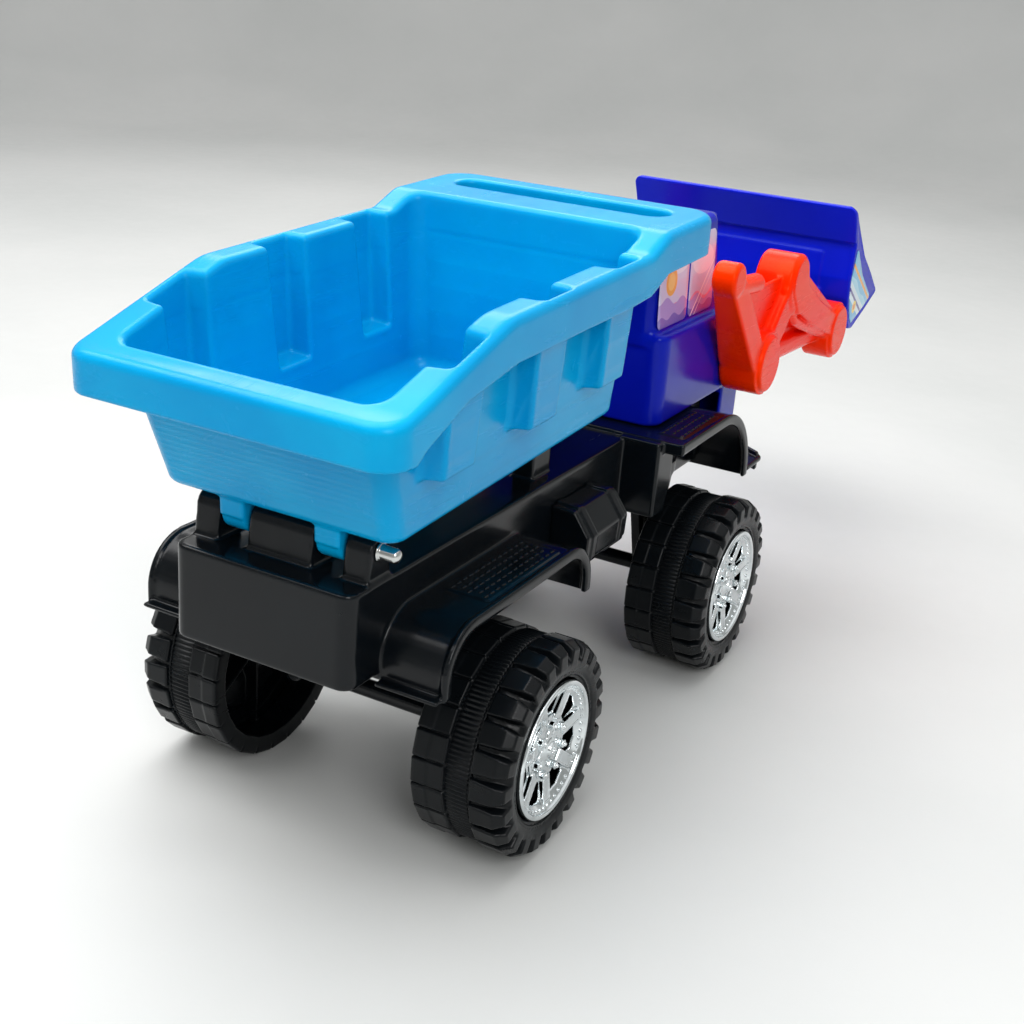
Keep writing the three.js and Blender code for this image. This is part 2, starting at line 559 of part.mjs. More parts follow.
function dumpBin() {
  const skin = 2.8;
  const underRim = prismY(rimOutline(0, -200), -140, 140);
  const lid = cut(
    prismY(rimOutline(0, -BIN.skirt), -140, 140).intersect(prismZ(binPlan(0, 22), 300, 420)),
    prismY(rimOutline(-skin, -BIN.skirt - 5), -140, 140).intersect(prismZ(binPlan(skin, 19), 300, 420)),
  );
  const pockets = (grow) => POCKETS.flatMap((x) => SIDES.map(([, toSide]) => toSide(pocket(x, grow))));
  const outside = union(binWall(0, BIN.floor), ...pockets(skin)).intersect(underRim);
  const inside = union(binWall(skin, BIN.floor + skin), ...pockets(0));
  const slot = { x: 256, halfWidth: 15, halfLength: 96, depth: 24 };
  const slotWalls = (grow) =>
    prismZ(
      roundedRectangle(slot.x - slot.halfWidth - grow, slot.x + slot.halfWidth + grow,
        -slot.halfLength - grow, slot.halfLength + grow, slot.halfWidth + grow - 0.5),
      405 - slot.depth - (grow ? 0 : 10), grow ? 404 : 420, 6,
    );
  const ears = [[28, 48], [-48, -28]].map(([y0, y1]) => {
    const shape = new THREE.Shape();
    shape.moveTo(TIP_PIVOT.x + 16, BIN.floor + 1);
    shape.lineTo(TIP_PIVOT.x - 15, BIN.floor + 1);
    shape.absarc(TIP_PIVOT.x, TIP_PIVOT.z, 12, Math.PI, 2 * Math.PI);
    shape.closePath();
    return prismY(shape, y0, y1, 10);
  });
  const bore = rodY(TIP_PIVOT.x, TIP_PIVOT.z, BORE_RADIUS, -60, 60, 12);
  return cut(union(lid, outside, slotWalls(skin), ...ears), inside, slotWalls(0), bore);
}
const binMesh = place("dump_bin", dumpBin(), binBlue(), binGroup);
binMesh.position.set(-TIP_PIVOT.x, 0, -TIP_PIVOT.z);

// Hinge rod through the chassis lugs and the bin's ears, pushed in from the right, where a cap holds it.
const TIP_ROD_END = 81;
place("tip_rod", rodY(TIP_PIVOT.x, TIP_PIVOT.z, AXLE_ROD_RADIUS, -TIP_ROD_END, 69.5, 12), steel());
function rodCap(pivot, inner, end) {
  return turnedY(
    [
      [BORE_RADIUS, inner], [5.6, inner], [5.6, inner + 2], [5, inner + 2.6], [5, end + 1], [3.4, end + 3.4],
      [0, end + 4.2], [0, end + GAP], [BORE_RADIUS, end + GAP],
    ],
    pivot.x, pivot.z, 12,
  );
}
place("tip_rod_cap", flipY(rodCap(TIP_PIVOT, 70 + GAP, TIP_ROD_END)), chrome());

// ---------------------------------------------------------------- loader
const PIN_END_Y = 120; // the lift pins and the bucket rod end inside the drums
const BUCKET_ROD_END = 120;
const TAIL = { x: 352, z: 357 };
const POST_FOOT = { x: 444, z: 262 };
const CRANK = { x: 530, z: 326 };

// Every limb of an arm: [from, to, radius at each end, inner y, outer y]. A boss is a limb of no length.
const ARM_LIMBS = [
  [TAIL, TAIL, 14, 14, 106, ARM_OUTER_Y],
  [CRANK, CRANK, 28, 28, 87, ARM_OUTER_Y - 1],
  [LIFT_PIVOT, LIFT_PIVOT, 30, 30, ARM_INNER_Y, ARM_OUTER_Y],
  [LIFT_PIVOT, LIFT_PIVOT, 26, 26, ARM_INNER_Y, ARM_OUTER_Y + 2],
  [BUCKET_PIVOT, BUCKET_PIVOT, 30, 30, 96, ARM_OUTER_Y],
  [BUCKET_PIVOT, BUCKET_PIVOT, 26, 26, 96, ARM_OUTER_Y + 2],
  [TAIL, POST_FOOT, 13, 14, 104, ARM_OUTER_Y - 1],
  [{ x: TAIL.x + 4, z: TAIL.z - 8 }, { x: TAIL.x + 50, z: TAIL.z - 11 }, 8.5, 8.5, 105, 123],
  [CRANK, LIFT_PIVOT, 15, 15, 96, ARM_OUTER_Y - 2],
  [CRANK, { x: BUCKET_PIVOT.x, z: BUCKET_PIVOT.z + 4 }, 17, 14, 100, ARM_OUTER_Y - 1.5],
  [LIFT_PIVOT, BUCKET_PIVOT, 10.5, 10.5, 98, 114],
];

function limb([from, to, r0, r1, y0, y1], inset) {
  const outer = y1 - inset;
  const inner = inset ? ARM_INNER_Y - 1 : y0;
  if (from === to) return rodY(from.x, from.z, r0 - inset, inner, outer, 24);
  return barY(from, to, r0 - inset, r1 - inset, inner, outer);
}

function loaderArm() {
  const rearWeb = polygon([[TAIL.x, TAIL.z], [LIFT_PIVOT.x, LIFT_PIVOT.z], [CRANK.x, CRANK.z + 10]]);
  const frontWeb = polygon([[LIFT_PIVOT.x, LIFT_PIVOT.z], [BUCKET_PIVOT.x, BUCKET_PIVOT.z], [CRANK.x, CRANK.z]]);
  const web = union(prismY(rearWeb, ARM_OUTER_Y - 14, ARM_OUTER_Y - 10.5), prismY(frontWeb, ARM_OUTER_Y - 21, ARM_OUTER_Y - 17.5));
  const outside = union(...ARM_LIMBS.map((each) => limb(each, 0)));
  const inside = union(...ARM_LIMBS.map((each) => limb(each, WALL)));
  const tubes = [
    rodY(LIFT_PIVOT.x, LIFT_PIVOT.z, 11, ARM_INNER_Y, ARM_OUTER_Y - 1, 16),
    rodY(BUCKET_PIVOT.x, BUCKET_PIVOT.z, 7, 98, ARM_OUTER_Y - 1, 12),
  ];
  const bores = [
    rodY(BUCKET_PIVOT.x, BUCKET_PIVOT.z, BORE_RADIUS, 80, BUCKET_ROD_END + GAP, 12),
    rodY(LIFT_PIVOT.x, LIFT_PIVOT.z, 7 + GAP, 80, PIN_END_Y + GAP, 16),
  ];
  return cut(union(cut(outside, inside), web, ...tubes), ...bores);
}

// A blind trunnion: it reaches from the cab wall into the drum and stays hidden behind its outer face.
function armPivotPin() {
  const { x, z } = LIFT_PIVOT;
  return turnedY(
    [[0, 80], [6, 80], [7, 82], [7, PIN_END_Y - 2], [5.5, PIN_END_Y], [0, PIN_END_Y]],
    x, z, 16,
  );
}
for (const [side, toSide] of SIDES) {
  place(`loader_arm_${side}`, toSide(loaderArm()), armRed());
  place(`arm_pivot_pin_${side}`, toSide(armPivotPin()), armRed());
}

// Bucket rod, across both arms and through the bucket's ears.
place("bucket_rod", rodY(BUCKET_PIVOT.x, BUCKET_PIVOT.z, AXLE_ROD_RADIUS, -BUCKET_ROD_END, BUCKET_ROD_END, 12), steel());

const BUCKET_HALF = 126;
const BUCKET_BACK = [
  [685, 379], [704, 343], [708, 340], [703, 302], [706, 281], [711, 268], [718, 254], [727, 245], [740, 243], [781, 256],
  [819, 270],
];
const BUCKET_FRONT = [
  [819, 271.5], [780, 259.2], [740, 246.4], [729, 248], [721, 256], [714.5, 269], [709.5, 282], [706.5, 302],
  [711.5, 341], [688, 381],
];

function bucket() {
  const sheet = prismY(polygon([...BUCKET_BACK, ...BUCKET_FRONT]), -BUCKET_HALF, BUCKET_HALF);
  const cheekOutline = polygon([
    [704.5, 302], [707.5, 281], [712.5, 268], [719.5, 254.5], [728, 246], [740, 244], [781, 257], [819, 270.5], [819, 275],
    [786, 298], [748, 322], [716, 352], [701, 367], [688, 380.5], [686, 379], [707, 341],
  ]);
  const earOutline = new THREE.Shape();
  earOutline.moveTo(721, 253);
  earOutline.lineTo(705, 290);
  earOutline.absarc(BUCKET_PIVOT.x, BUCKET_PIVOT.z, 15, Math.PI * 0.6, Math.PI * 1.5);
  earOutline.closePath();
  const sideParts = SIDES.flatMap(([, toSide]) => [
    toSide(prismY(cheekOutline, BUCKET_HALF - WALL, BUCKET_HALF)),
    toSide(prismY(earOutline, 84, 95, 7)),
  ]);
  const pad = prismY(polygon([[708, 329], [702, 325], [700.5, 286], [706.5, 283]]), -92, 92);
  const bore = rodY(BUCKET_PIVOT.x, BUCKET_PIVOT.z, BORE_RADIUS, -100, 100, 12);
  return cut(union(sheet, pad, ...sideParts), bore);
}
place("bucket", bucket(), cabBlue());
for (const [side, toSide] of SIDES) {
  const outline = polygon([[711, 282], [717, 269], [724, 257], [732, 250], [775, 262], [796, 270], [750, 301], [716, 335], [708, 302]]);
  place(`bucket_label_${side}`, toSide(prismY(outline, BUCKET_HALF + GAP, BUCKET_HALF + GAP + LABEL)), decal());
}

// ---------------------------------------------------------------- origin: middle of the length, on the ground
const extent = new THREE.Box3().setFromObject(truck, true);
truck.position.x = -(extent.min.x + extent.max.x) / 2;

export default truck;
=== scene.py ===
import bpy
import math
import numpy as np
import openvdb as vdb
from mathutils import Matrix, Vector


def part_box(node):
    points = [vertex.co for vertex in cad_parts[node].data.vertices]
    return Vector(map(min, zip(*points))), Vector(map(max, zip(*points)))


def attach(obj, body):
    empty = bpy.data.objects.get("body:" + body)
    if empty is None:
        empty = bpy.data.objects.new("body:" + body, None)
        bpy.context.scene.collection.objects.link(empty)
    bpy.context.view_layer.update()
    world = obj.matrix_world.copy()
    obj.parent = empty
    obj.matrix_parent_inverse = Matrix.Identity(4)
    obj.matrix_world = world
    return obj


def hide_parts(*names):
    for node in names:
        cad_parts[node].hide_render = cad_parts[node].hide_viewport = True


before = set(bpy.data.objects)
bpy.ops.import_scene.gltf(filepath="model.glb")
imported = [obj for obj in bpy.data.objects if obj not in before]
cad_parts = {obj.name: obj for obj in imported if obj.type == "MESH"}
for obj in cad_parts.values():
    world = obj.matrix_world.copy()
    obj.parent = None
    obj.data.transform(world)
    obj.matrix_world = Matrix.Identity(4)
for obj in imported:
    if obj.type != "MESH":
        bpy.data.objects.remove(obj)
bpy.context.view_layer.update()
COARSE = 1.0

axle_low, axle_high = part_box("rear_axle")
REAR_X = (axle_low.x + axle_high.x) / 2

# ------------------------------------------------------------------ driving dimensions
WHEEL_R, WHEELBASE = 80.0, 351.0
TIP = (-105.0, 246.0)
LIFT = (460.0, 261.0)
BUCKET = (684.0, 251.0)
TAIL = (352.0, 357.0)
CRANK = (530.0, 326.0)
BIN_TILT = math.radians(2.5)
LUGS = 24
SPOKES = 7
NUT_RING = 18.9  # radius of the circle of nuts on a hubcap
SIN_60 = 0.8660254

# ------------------------------------------------------------------ distances in a plane
f32 = np.float32


def least(a, b):
    return np.minimum(a, b)


def most(a, b):
    return np.maximum(a, b)


def slab(t, low, high):
    return abs(t - (low + high) / 2) - (high - low) / 2


def disc(a, b, ca, cb, radius):
    return np.hypot(a - ca, b - cb) - radius


def rect(a, b, a0, a1, b0, b1, radius=0.0):
    u = abs(a - (a0 + a1) / 2) - (a1 - a0) / 2 + radius
    v = abs(b - (b0 + b1) / 2) - (b1 - b0) / 2 + radius
    return np.hypot(most(u, 0), most(v, 0)) + least(most(u, v), 0) - radius


def bar(a, b, p, q, r0, r1=None):
    r1 = r0 if r1 is None else r1
    ea, eb = q[0] - p[0], q[1] - p[1]
    t = np.clip(((a - p[0]) * ea + (b - p[1]) * eb) / (ea * ea + eb * eb), 0, 1)
    return np.hypot(a - p[0] - ea * t, b - p[1] - eb * t) - (r0 + (r1 - r0) * t)


def chain(a, b, points):
    """Distance to a line through the points."""
    found = None
    for p, q in zip(points, points[1:]):
        one = bar(a, b, p, q, 0.0)
        found = one if found is None else least(found, one)
    return found


def shape(a, b, points):
    a, b = np.broadcast_arrays(a, b)
    nearest = np.full(a.shape, 1e9, f32)
    inside = np.zeros(a.shape, bool)
    for (pa, pb), (qa, qb) in zip(points[-1:] + points[:-1], points):
        ea, eb = qa - pa, qb - pb
        if abs(ea) + abs(eb) < 1e-9:
            continue
        wa, wb = a - pa, b - pb
        t = np.clip((wa * ea + wb * eb) / (ea * ea + eb * eb), 0, 1)
        nearest = least(nearest, (wa - ea * t) ** 2 + (wb - eb * t) ** 2)
        if eb:
            inside ^= ((pb > b) != (qb > b)) & (a < pa + (b - pb) * ea / eb)
    return np.where(inside, -1, 1).astype(f32) * np.sqrt(nearest)


def soft(corners, steps=7):
    """Points of an outline whose corners (a, b, radius) are rounded."""
    out = []
    for i, corner in enumerate(corners):
        radius = corner[2] if len(corner) > 2 else 0
        p = Vector(corner[:2])
        if radius <= 0:
            out.append((p.x, p.y))
            continue
        before = Vector(corners[i - 1][:2]) - p
        after = Vector(corners[(i + 1) % len(corners)][:2]) - p
        room = 0.49 * min(before.length, after.length)
        before.normalize()
        after.normalize()
        half = before.angle(after) / 2
        reach = min(radius / math.tan(half), room)
        radius = reach * math.tan(half)
        centre = p + (before + after).normalized() * (radius / math.sin(half))
        start, end = p + before * reach - centre, p + after * reach - centre
        first = math.atan2(start.y, start.x)
        turn = (math.atan2(end.y, end.x) - first + math.pi) % (2 * math.pi) - math.pi
        for k in range(steps + 1):
            angle = first + turn * k / steps
            out.append((centre.x + radius * math.cos(angle), centre.y + radius * math.sin(angle)))
    return out


def arc(ca, cb, radius, start, end, steps=20):
    return [
        (ca + radius * math.cos(math.radians(start + (end - start) * k / steps)),
         cb + radius * math.sin(math.radians(start + (end - start) * k / steps)))
        for k in range(steps + 1)
    ]


# ------------------------------------------------------------------ joining and cutting, with rounded edges
def join(a, b, radius=0.0):
    if radius <= 0:
        return least(a, b)
    return most(radius, least(a, b)) - np.hypot(most(radius - a, 0), most(radius - b, 0))


def meet(a, b, radius=0.0):
    if radius <= 0:
        return most(a, b)
    return least(-radius, most(a, b)) + np.hypot(most(radius + a, 0), most(radius + b, 0))


def take(a, b, radius=0.0):
    return meet(a, -b, radius)


class Space:
    """A grid of points around one piece. With mirror, only y >= 0 is worked out."""

    def __init__(self, low, high, step, mirror=False):
        self.step, self.mirror = step * COARSE, mirror
        low = (low[0], 0.0, low[2]) if mirror else low
        counts = [int(math.ceil((high[k] - low[k]) / self.step)) + 1 for k in range(3)]
        self.low, self.size = low, tuple(counts)
        axes = [(low[k] + self.step * np.arange(counts[k])).astype(f32) for k in range(3)]
        self.x, self.y, self.z = axes[0][:, None, None], axes[1][None, :, None], axes[2][None, None, :]

    def skin(self, distance):
        d = np.broadcast_to(distance, self.size)
        low = list(self.low)
        if self.mirror:
            d = np.concatenate((d[:, :0:-1], d), axis=1)
            low[1] = -(self.size[1] - 1) * self.step
        band = 3 * self.step
        grid = vdb.FloatGrid()
        grid.background = band
        grid.copyFromArray(np.ascontiguousarray(np.clip(d, -band, band), f32))
        points, quads = grid.convertToQuads(0.0)
        points = points.astype(np.float64) * self.step + np.array(low)
        a, b, c, e = (points[quads[:, k]] for k in range(4))
        if np.einsum("ij,ij->i", a, np.cross(b - a, c - a) + np.cross(c - a, e - a)).sum() < 0:
            quads = quads[:, ::-1]
        return points, [np.ascontiguousarray(quads, np.int32)]


# ------------------------------------------------------------------ meshes made directly
def turned(profile, segments=64, radial=None, ring=False):
    """A profile of (radius, y) turned about the Y axis, closed on itself if ring. radial(angle, i) may add to a radius."""
    angles = np.arange(segments) * 2 * math.pi / segments
    points = []
    for i, (radius, y) in enumerate(profile):
        r = np.full(segments, radius) if radial is None else radius + radial(angles, i)
        points.append(np.stack([r * np.cos(angles), np.full(segments, y), r * np.sin(angles)], 1))
    count, faces = len(profile), []
    here = np.arange(segments)
    after = (here + 1) % segments
    for i in range(count if ring else count - 1):
        low, high = i * segments, (i + 1) % count * segments
        faces.append(np.stack([low + here, low + after, high + after, high + here], 1))
    points, faces = np.concatenate(points), [np.concatenate(faces).astype(np.int32)]
    caps = []
    for i, flip in () if ring else ((0, True), (count - 1, False)):
        if profile[i][0] > 0:
            points = np.vstack([points, [[0, profile[i][1], 0]]])
            middle = np.full(segments, len(points) - 1)
            row = i * segments
            cap = [middle, row + after, row + here] if flip else [middle, row + here, row + after]
            caps.append(np.stack(cap, 1).astype(np.int32))
    return points, faces + caps


def dome(centre, radii, rings=5, segments=12):
    """A low oval bump that stands on its base plane, along +Z."""
    profile = [(math.cos(k * math.pi / 2 / rings), math.sin(k * math.pi / 2 / rings)) for k in range(rings)]
    points, faces = [], []
    for r, h in profile:
        for s in range(segments):
            a = 2 * math.pi * s / segments
            points.append((centre[0] + radii[0] * r * math.cos(a), centre[1] + radii[1] * r * math.sin(a),
                centre[2] + radii[2] * h))
    points.append((centre[0], centre[1], centre[2] + radii[2]))
    for i in range(rings - 1):
        for s in range(segments):
            t = (s + 1) % segments
            faces.append((i * segments + s, i * segments + t, (i + 1) * segments + t, (i + 1) * segments + s))
    top = [((rings - 1) * segments + s, (rings - 1) * segments + (s + 1) % segments,
        len(points) - 1) for s in range(segments)]
    return np.array(points), [np.array(faces, np.int32), np.array(top, np.int32)]


def shifted(part, dx=0.0, dy=0.0, dz=0.0):
    return part[0] + np.array([dx, dy, dz]), part[1]


def turned_to_z(part):
    """Y up profile to Z up."""
    p = part[0]
    return np.stack([p[:, 0], -p[:, 2], p[:, 1]], 1), part[1]


def other_side(part):
    """The same part mirrored in y."""
    return part[0] * np.array([1, -1, 1]), [np.ascontiguousarray(f[:, ::-1]) for f in part[1]]


def merged(*parts):
    points, faces, count = [], [], 0
    for p, fs in parts:
        points.append(p)
        faces += [f + count for f in fs]
        count += len(p)
    return np.concatenate(points), faces


def outward(part):
    """The part with its faces turned outwards, by the sign of its volume."""
    points, faces = part
    total = 0.0
    for f in faces:
        for k in range(1, f.shape[1] - 1):
            a, b, c = points[f[:, 0]], points[f[:, k]], points[f[:, k + 1]]
            total += np.einsum("ij,ij->i", a, np.cross(b - a, c - a)).sum()
    return part if total > 0 else (points, [np.ascontiguousarray(f[:, ::-1]) for f in faces])


def piece(name, part, body, material, replaces=(), sharp=None):
    points, faces = part
    me = bpy.data.meshes.new(name)
    world = points * 0.001 + np.array([REAR_X, 0, 0])
    me.vertices.add(len(world))
    me.vertices.foreach_set("co", world.astype(f32).ravel())
    corners = np.concatenate([f.ravel() for f in faces])
    starts = np.concatenate([np.full(len(f), f.shape[1]) for f in faces])
    me.loops.add(len(corners))
    me.loops.foreach_set("vertex_index", corners.astype(np.int32))
    me.polygons.add(len(starts))
    me.polygons.foreach_set("loop_start", np.concatenate([[0], np.cumsum(starts)[:-1]]).astype(np.int32))
    me.update(calc_edges=True)
    me.validate()
    me.shade_smooth()
    if sharp is not None:
        me.set_sharp_from_angle(angle=math.radians(sharp))
    obj = bpy.data.objects.new(name, me)
    bpy.context.scene.collection.objects.link(obj)
    me.materials.append(material)
    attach(obj, body)
    if replaces:
        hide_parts(*replaces)
    return obj


def pair(name, part, body, material, node, sharp=None):
    """The same piece on the left and, mirrored, on the right. name and node hold {} where the side goes."""
    for side, there in (("left", part), ("right", other_side(part))):
        piece(name.format(side), there, body, material, [node.format(side)], sharp)


# ------------------------------------------------------------------ materials
def linear(r, g, b):
    def one(v):
        v /= 255
        return v / 12.92 if v <= 0.04045 else ((v + 0.055) / 1.055) ** 2.4

    return one(r), one(g), one(b), 1.0


class Nodes:
    """A material with short names for the nodes that it needs."""

    def __init__(self, name):
        self.material = bpy.data.materials.new(name)
        self.material.use_nodes = True
        self.tree = self.material.node_tree
        self.shader = self.tree.nodes["Principled BSDF"]
        self.place = self.tree.nodes.new("ShaderNodeTexCoord").outputs["Object"]

    def put(self, kind, values=None, **settings):
        node = self.tree.nodes.new(kind)
        for key, value in settings.items():
            setattr(node, key, value)
        for key, value in (values or {}).items():
            self.feed(value, node.inputs[key])
        return node

    def feed(self, value, socket):
        if isinstance(value, bpy.types.NodeSocket):
            self.tree.links.new(value, socket)
        else:
            socket.default_value = value

    def noise(self, scale, detail=3.0, roughness=0.5, stretch=None, distortion=0.0):
        where = self.place
        if stretch:
            where = self.put("ShaderNodeMapping", {"Vector": where, "Scale": stretch}).outputs[0]
        return self.put(
            "ShaderNodeTexNoise",
            {"Vector": where, "Scale": scale, "Detail": detail, "Roughness": roughness, "Distortion": distortion},
        ).outputs[0]

    def ramp(self, value, low, high, a=0.0, b=1.0):
        return self.put("ShaderNodeMapRange", {0: value, 1: low, 2: high, 3: a, 4: b}).outputs[0]

    def math(self, operation, a, b=0.0):
        return self.put("ShaderNodeMath", {0: a, 1: b}, operation=operation).outputs[0]

    def mix(self, factor, a, b):
        node = self.put("ShaderNodeMix", data_type="RGBA")
        for socket in node.inputs:
            if socket.identifier == "Factor_Float":
                self.feed(factor, socket)
            elif socket.identifier == "A_Color":
                self.feed(a, socket)
            elif socket.identifier == "B_Color":
                self.feed(b, socket)
        return next(s for s in node.outputs if s.identifier == "Result_Color")

    def bump(self, height, strength, distance, under=None):
        values = {"Height": height, "Strength": strength, "Distance": distance}
        if under is not None:
            values["Normal"] = under
        return self.put("ShaderNodeBump", values).outputs[0]

    def set(self, **values):
        for key, value in values.items():
            self.feed(value, self.shader.inputs[key.replace("_", " ")])


def moulded(name, base, light, rough, peel=0.35, wear=0.5, gloss=0.25, scuff_light=0.10, waves=0.25, sheen=(1, 1, 1)):
    """Blow-moulded or injection-moulded plastic: slow colour drift, orange peel, flow marks and fine scratches."""
    n = Nodes(name)
    drift = n.ramp(n.noise(9.0, 3.0, 0.55), 0.35, 0.7)
    colour = n.mix(drift, linear(*base), linear(*light))
    dust = n.ramp(n.noise(60.0, 5.0, 0.7), 0.56, 0.86, 0.0, scuff_light)
    colour = n.mix(dust, colour, linear(*(0.55 * v + 95 for v in light)))
    flow = n.noise(7.0, 4.0, 0.6, stretch=(1.0, 4.5, 9.0), distortion=0.8)
    scratch_a = n.ramp(n.noise(210.0, 2.0, 0.5, stretch=(0.05, 1.0, 1.0)), 0.66, 0.74)
    scratch_b = n.ramp(n.noise(240.0, 2.0, 0.5, stretch=(1.0, 0.06, 0.8)), 0.67, 0.75)
    scratches = n.math("MAXIMUM", scratch_a, scratch_b)
    patch = n.ramp(n.noise(14.0, 2.0, 0.5), 0.45, 0.72)
    scratches = n.math("MULTIPLY", scratches, patch)
    roughness = n.math("ADD", n.ramp(flow, 0.3, 0.75, rough - 0.05, rough + 0.07), n.math("MULTIPLY", scratches, 0.16 * wear))
    fine = n.bump(n.noise(900.0, 2.0, 0.5), 0.05 + 0.1 * peel, 0.00012)
    orange = n.bump(n.noise(150.0, 2.0, 0.5), 0.10 * peel, 0.0006, fine)
    slow = n.bump(n.noise(16.0, 2.0, 0.5), 0.30 * waves, 0.0030, orange)
    normal = n.bump(n.math("MULTIPLY", scratches, -1.0), 0.08 * wear, 0.0002, slow)
    n.set(Base_Color=colour, Roughness=roughness, Normal=normal, IOR=1.49, Specular_IOR_Level=gloss,
        Specular_Tint=(*sheen, 1))
    return n.material


def metalled(name, base, rough, grain=0.2, smudge=0.1):
    """Bright metal, or plastic with a vapour-deposited metal skin, with smudges and faint ripple."""
    n = Nodes(name)
    smear = n.ramp(n.noise(55.0, 4.0, 0.6), 0.4, 0.75)
    dark = tuple(v * 0.86 for v in base)
    n.set(
        Base_Color=n.mix(smear, linear(*base), linear(*dark)),
        Roughness=n.ramp(n.noise(120.0, 4.0, 0.6), 0.3, 0.8, rough, rough + smudge),
        Normal=n.bump(n.noise(130.0, 2.0, 0.5), grain * 0.25, 0.0004, n.bump(n.noise(1500.0, 2.0), 0.03, 0.0001)),
        Metallic=1.0,
    )
    return n.material


def rolled_steel(name, base, rough):
    """Drawn steel rod: fine rings left by the die along its length."""
    n = Nodes(name)
    rings = n.noise(600.0, 2.0, 0.5, stretch=(0.2, 3.0, 0.2))
    n.set(
        Base_Color=n.mix(n.ramp(n.noise(40.0, 4.0), 0.35, 0.75), linear(*base), linear(120, 122, 125)),
        Roughness=n.ramp(rings, 0.3, 0.7, rough, rough + 0.15),
        Normal=n.bump(rings, 0.12, 0.0002),
        Metallic=1.0,
    )
    return n.material


BIN_BLUE = moulded("bin_blue", (0, 146, 206), (0, 161, 216), 0.24, peel=0.3, wear=0.6, waves=0.30, scuff_light=0.02,
    gloss=0.3, sheen=(0.35, 0.8, 1.0))
CAB_BLUE = moulded("cab_blue", (4, 20, 168), (9, 24, 180), 0.17, peel=0.3, wear=0.4, scuff_light=0.02, gloss=0.28,
    sheen=(0.45, 0.6, 1.0))
BUCKET_BLUE = moulded("bucket_blue", (6, 24, 190), (10, 28, 202), 0.21, peel=0.3, wear=0.4, scuff_light=0.02, gloss=0.18,
    sheen=(0.5, 0.65, 1.0))
LOADER_RED = moulded("loader_red", (255, 26, 0), (255, 56, 0), 0.26, peel=0.3, wear=0.15, scuff_light=0.01, waves=0.2,
    gloss=0.22, sheen=(1.0, 0.5, 0.2))
FRAME_BLACK = moulded("frame_black", (6, 10, 14), (11, 16, 20), 0.19, peel=0.25, wear=0.6, scuff_light=0.025, gloss=0.26)
TYRE_BLACK = moulded("tyre_black", (6, 9, 12), (11, 15, 18), 0.30, peel=0.6, wear=0.5, scuff_light=0.03, gloss=0.2)
CHROME = metalled("hub_chrome", (232, 238, 240), 0.04, 0.06, 0.05)
CAP_STEEL = metalled("cap_nickel", (214, 216, 214), 0.12, 0.3, 0.10)
ROD_STEEL = rolled_steel("rod_steel", (182, 186, 190), 0.22)
SCREW_STEEL = rolled_steel("screw_zinc", (165, 168, 172), 0.3)


# ------------------------------------------------------------------ printed labels
class Print(Nodes):
    """A printed sticker: flat areas of colour in the plane (a, b), in millimetres, under a clear film."""

    def __init__(self, name, across, up, ground):
        super().__init__(name)
        split = self.put("ShaderNodeSeparateXYZ", {"Vector": self.place}).outputs
        axis = {"x": 0, "y": 1, "z": 2}
        offset = REAR_X if across == "x" else 0.0
        self.a = self.math("MULTIPLY", self.math("SUBTRACT", split[axis[across]], offset), 1000.0)
        self.b = self.math("MULTIPLY", split[axis[up]], 1000.0)
        self.colour = linear(*ground)

    def cover(self, mask, rgb):
        self.colour = self.mix(mask, self.colour, linear(*rgb))

    def inside(self, value, edge=0.35):
        return self.ramp(value, -edge, edge, 1.0, 0.0)

    def round(self, ca, cb, ra, rb, rgb):
        u = self.math("DIVIDE", self.math("SUBTRACT", self.a, ca), ra)
        v = self.math("DIVIDE", self.math("SUBTRACT", self.b, cb), rb)
        d = self.math("SUBTRACT", self.math("SQRT", self.math("ADD", self.math("MULTIPLY", u, u),
            self.math("MULTIPLY", v, v))), 1.0)
        self.cover(self.inside(self.math("MULTIPLY", d, min(ra, rb))), rgb)

    def below(self, slope, level, rgb, wave=0.0, length=20.0):
        line = self.math("ADD", self.math("MULTIPLY", self.a, slope), level)
        if wave:
            line = self.math("ADD", line, self.math("MULTIPLY", self.math("SINE",
                self.math("DIVIDE", self.a, length / 6.2832)), wave))
        self.cover(self.inside(self.math("SUBTRACT", self.b, line)), rgb)

    def band(self, slope, level, half, rgb):
        line = self.math("ADD", self.math("MULTIPLY", self.a, slope), level)
        self.cover(self.inside(self.math("SUBTRACT", self.math("ABSOLUTE", self.math("SUBTRACT", self.b, line)), half)), rgb)

    def done(self):
        speck = self.ramp(self.noise(700.0, 2.0), 0.3, 0.75)
        colour = self.mix(self.math("MULTIPLY", speck, 0.10), self.colour, (0.55, 0.52, 0.58, 1.0))
        ripple = self.bump(self.noise(26.0, 3.0, 0.5), 0.25, 0.0012)
        self.set(
            Base_Color=colour,
            Roughness=self.ramp(self.noise(45.0, 4.0, 0.6), 0.35, 0.75, 0.14, 0.26),
            Normal=self.bump(self.noise(600.0, 2.0), 0.05, 0.0001, ripple),
            IOR=1.5, Coat_Weight=0.35, Coat_Roughness=0.08,
        )
        return self.material


def side_window_print():
    p = Print("label_window_side", "x", "z", (214, 205, 236))
    p.round(338, 372, 26, 15, (236, 232, 248))
    p.round(392, 362, 24, 13, (240, 226, 244))
    p.round(322, 352, 12, 12, (248, 178, 96))
    p.round(322, 352, 7.5, 7.5, (252, 206, 130))
    p.below(0.05, 312, (232, 150, 186), 4.0, 46.0)
    p.below(-0.10, 368, (176, 152, 216), 3.0, 34.0)
    p.below(0.0, 322, (122, 104, 190), 2.0, 27.0)
    p.band(0.9, -18, 1.1, (250, 246, 252))
    p.band(0.9, -26, 0.6, (250, 246, 252))
    return p.done()


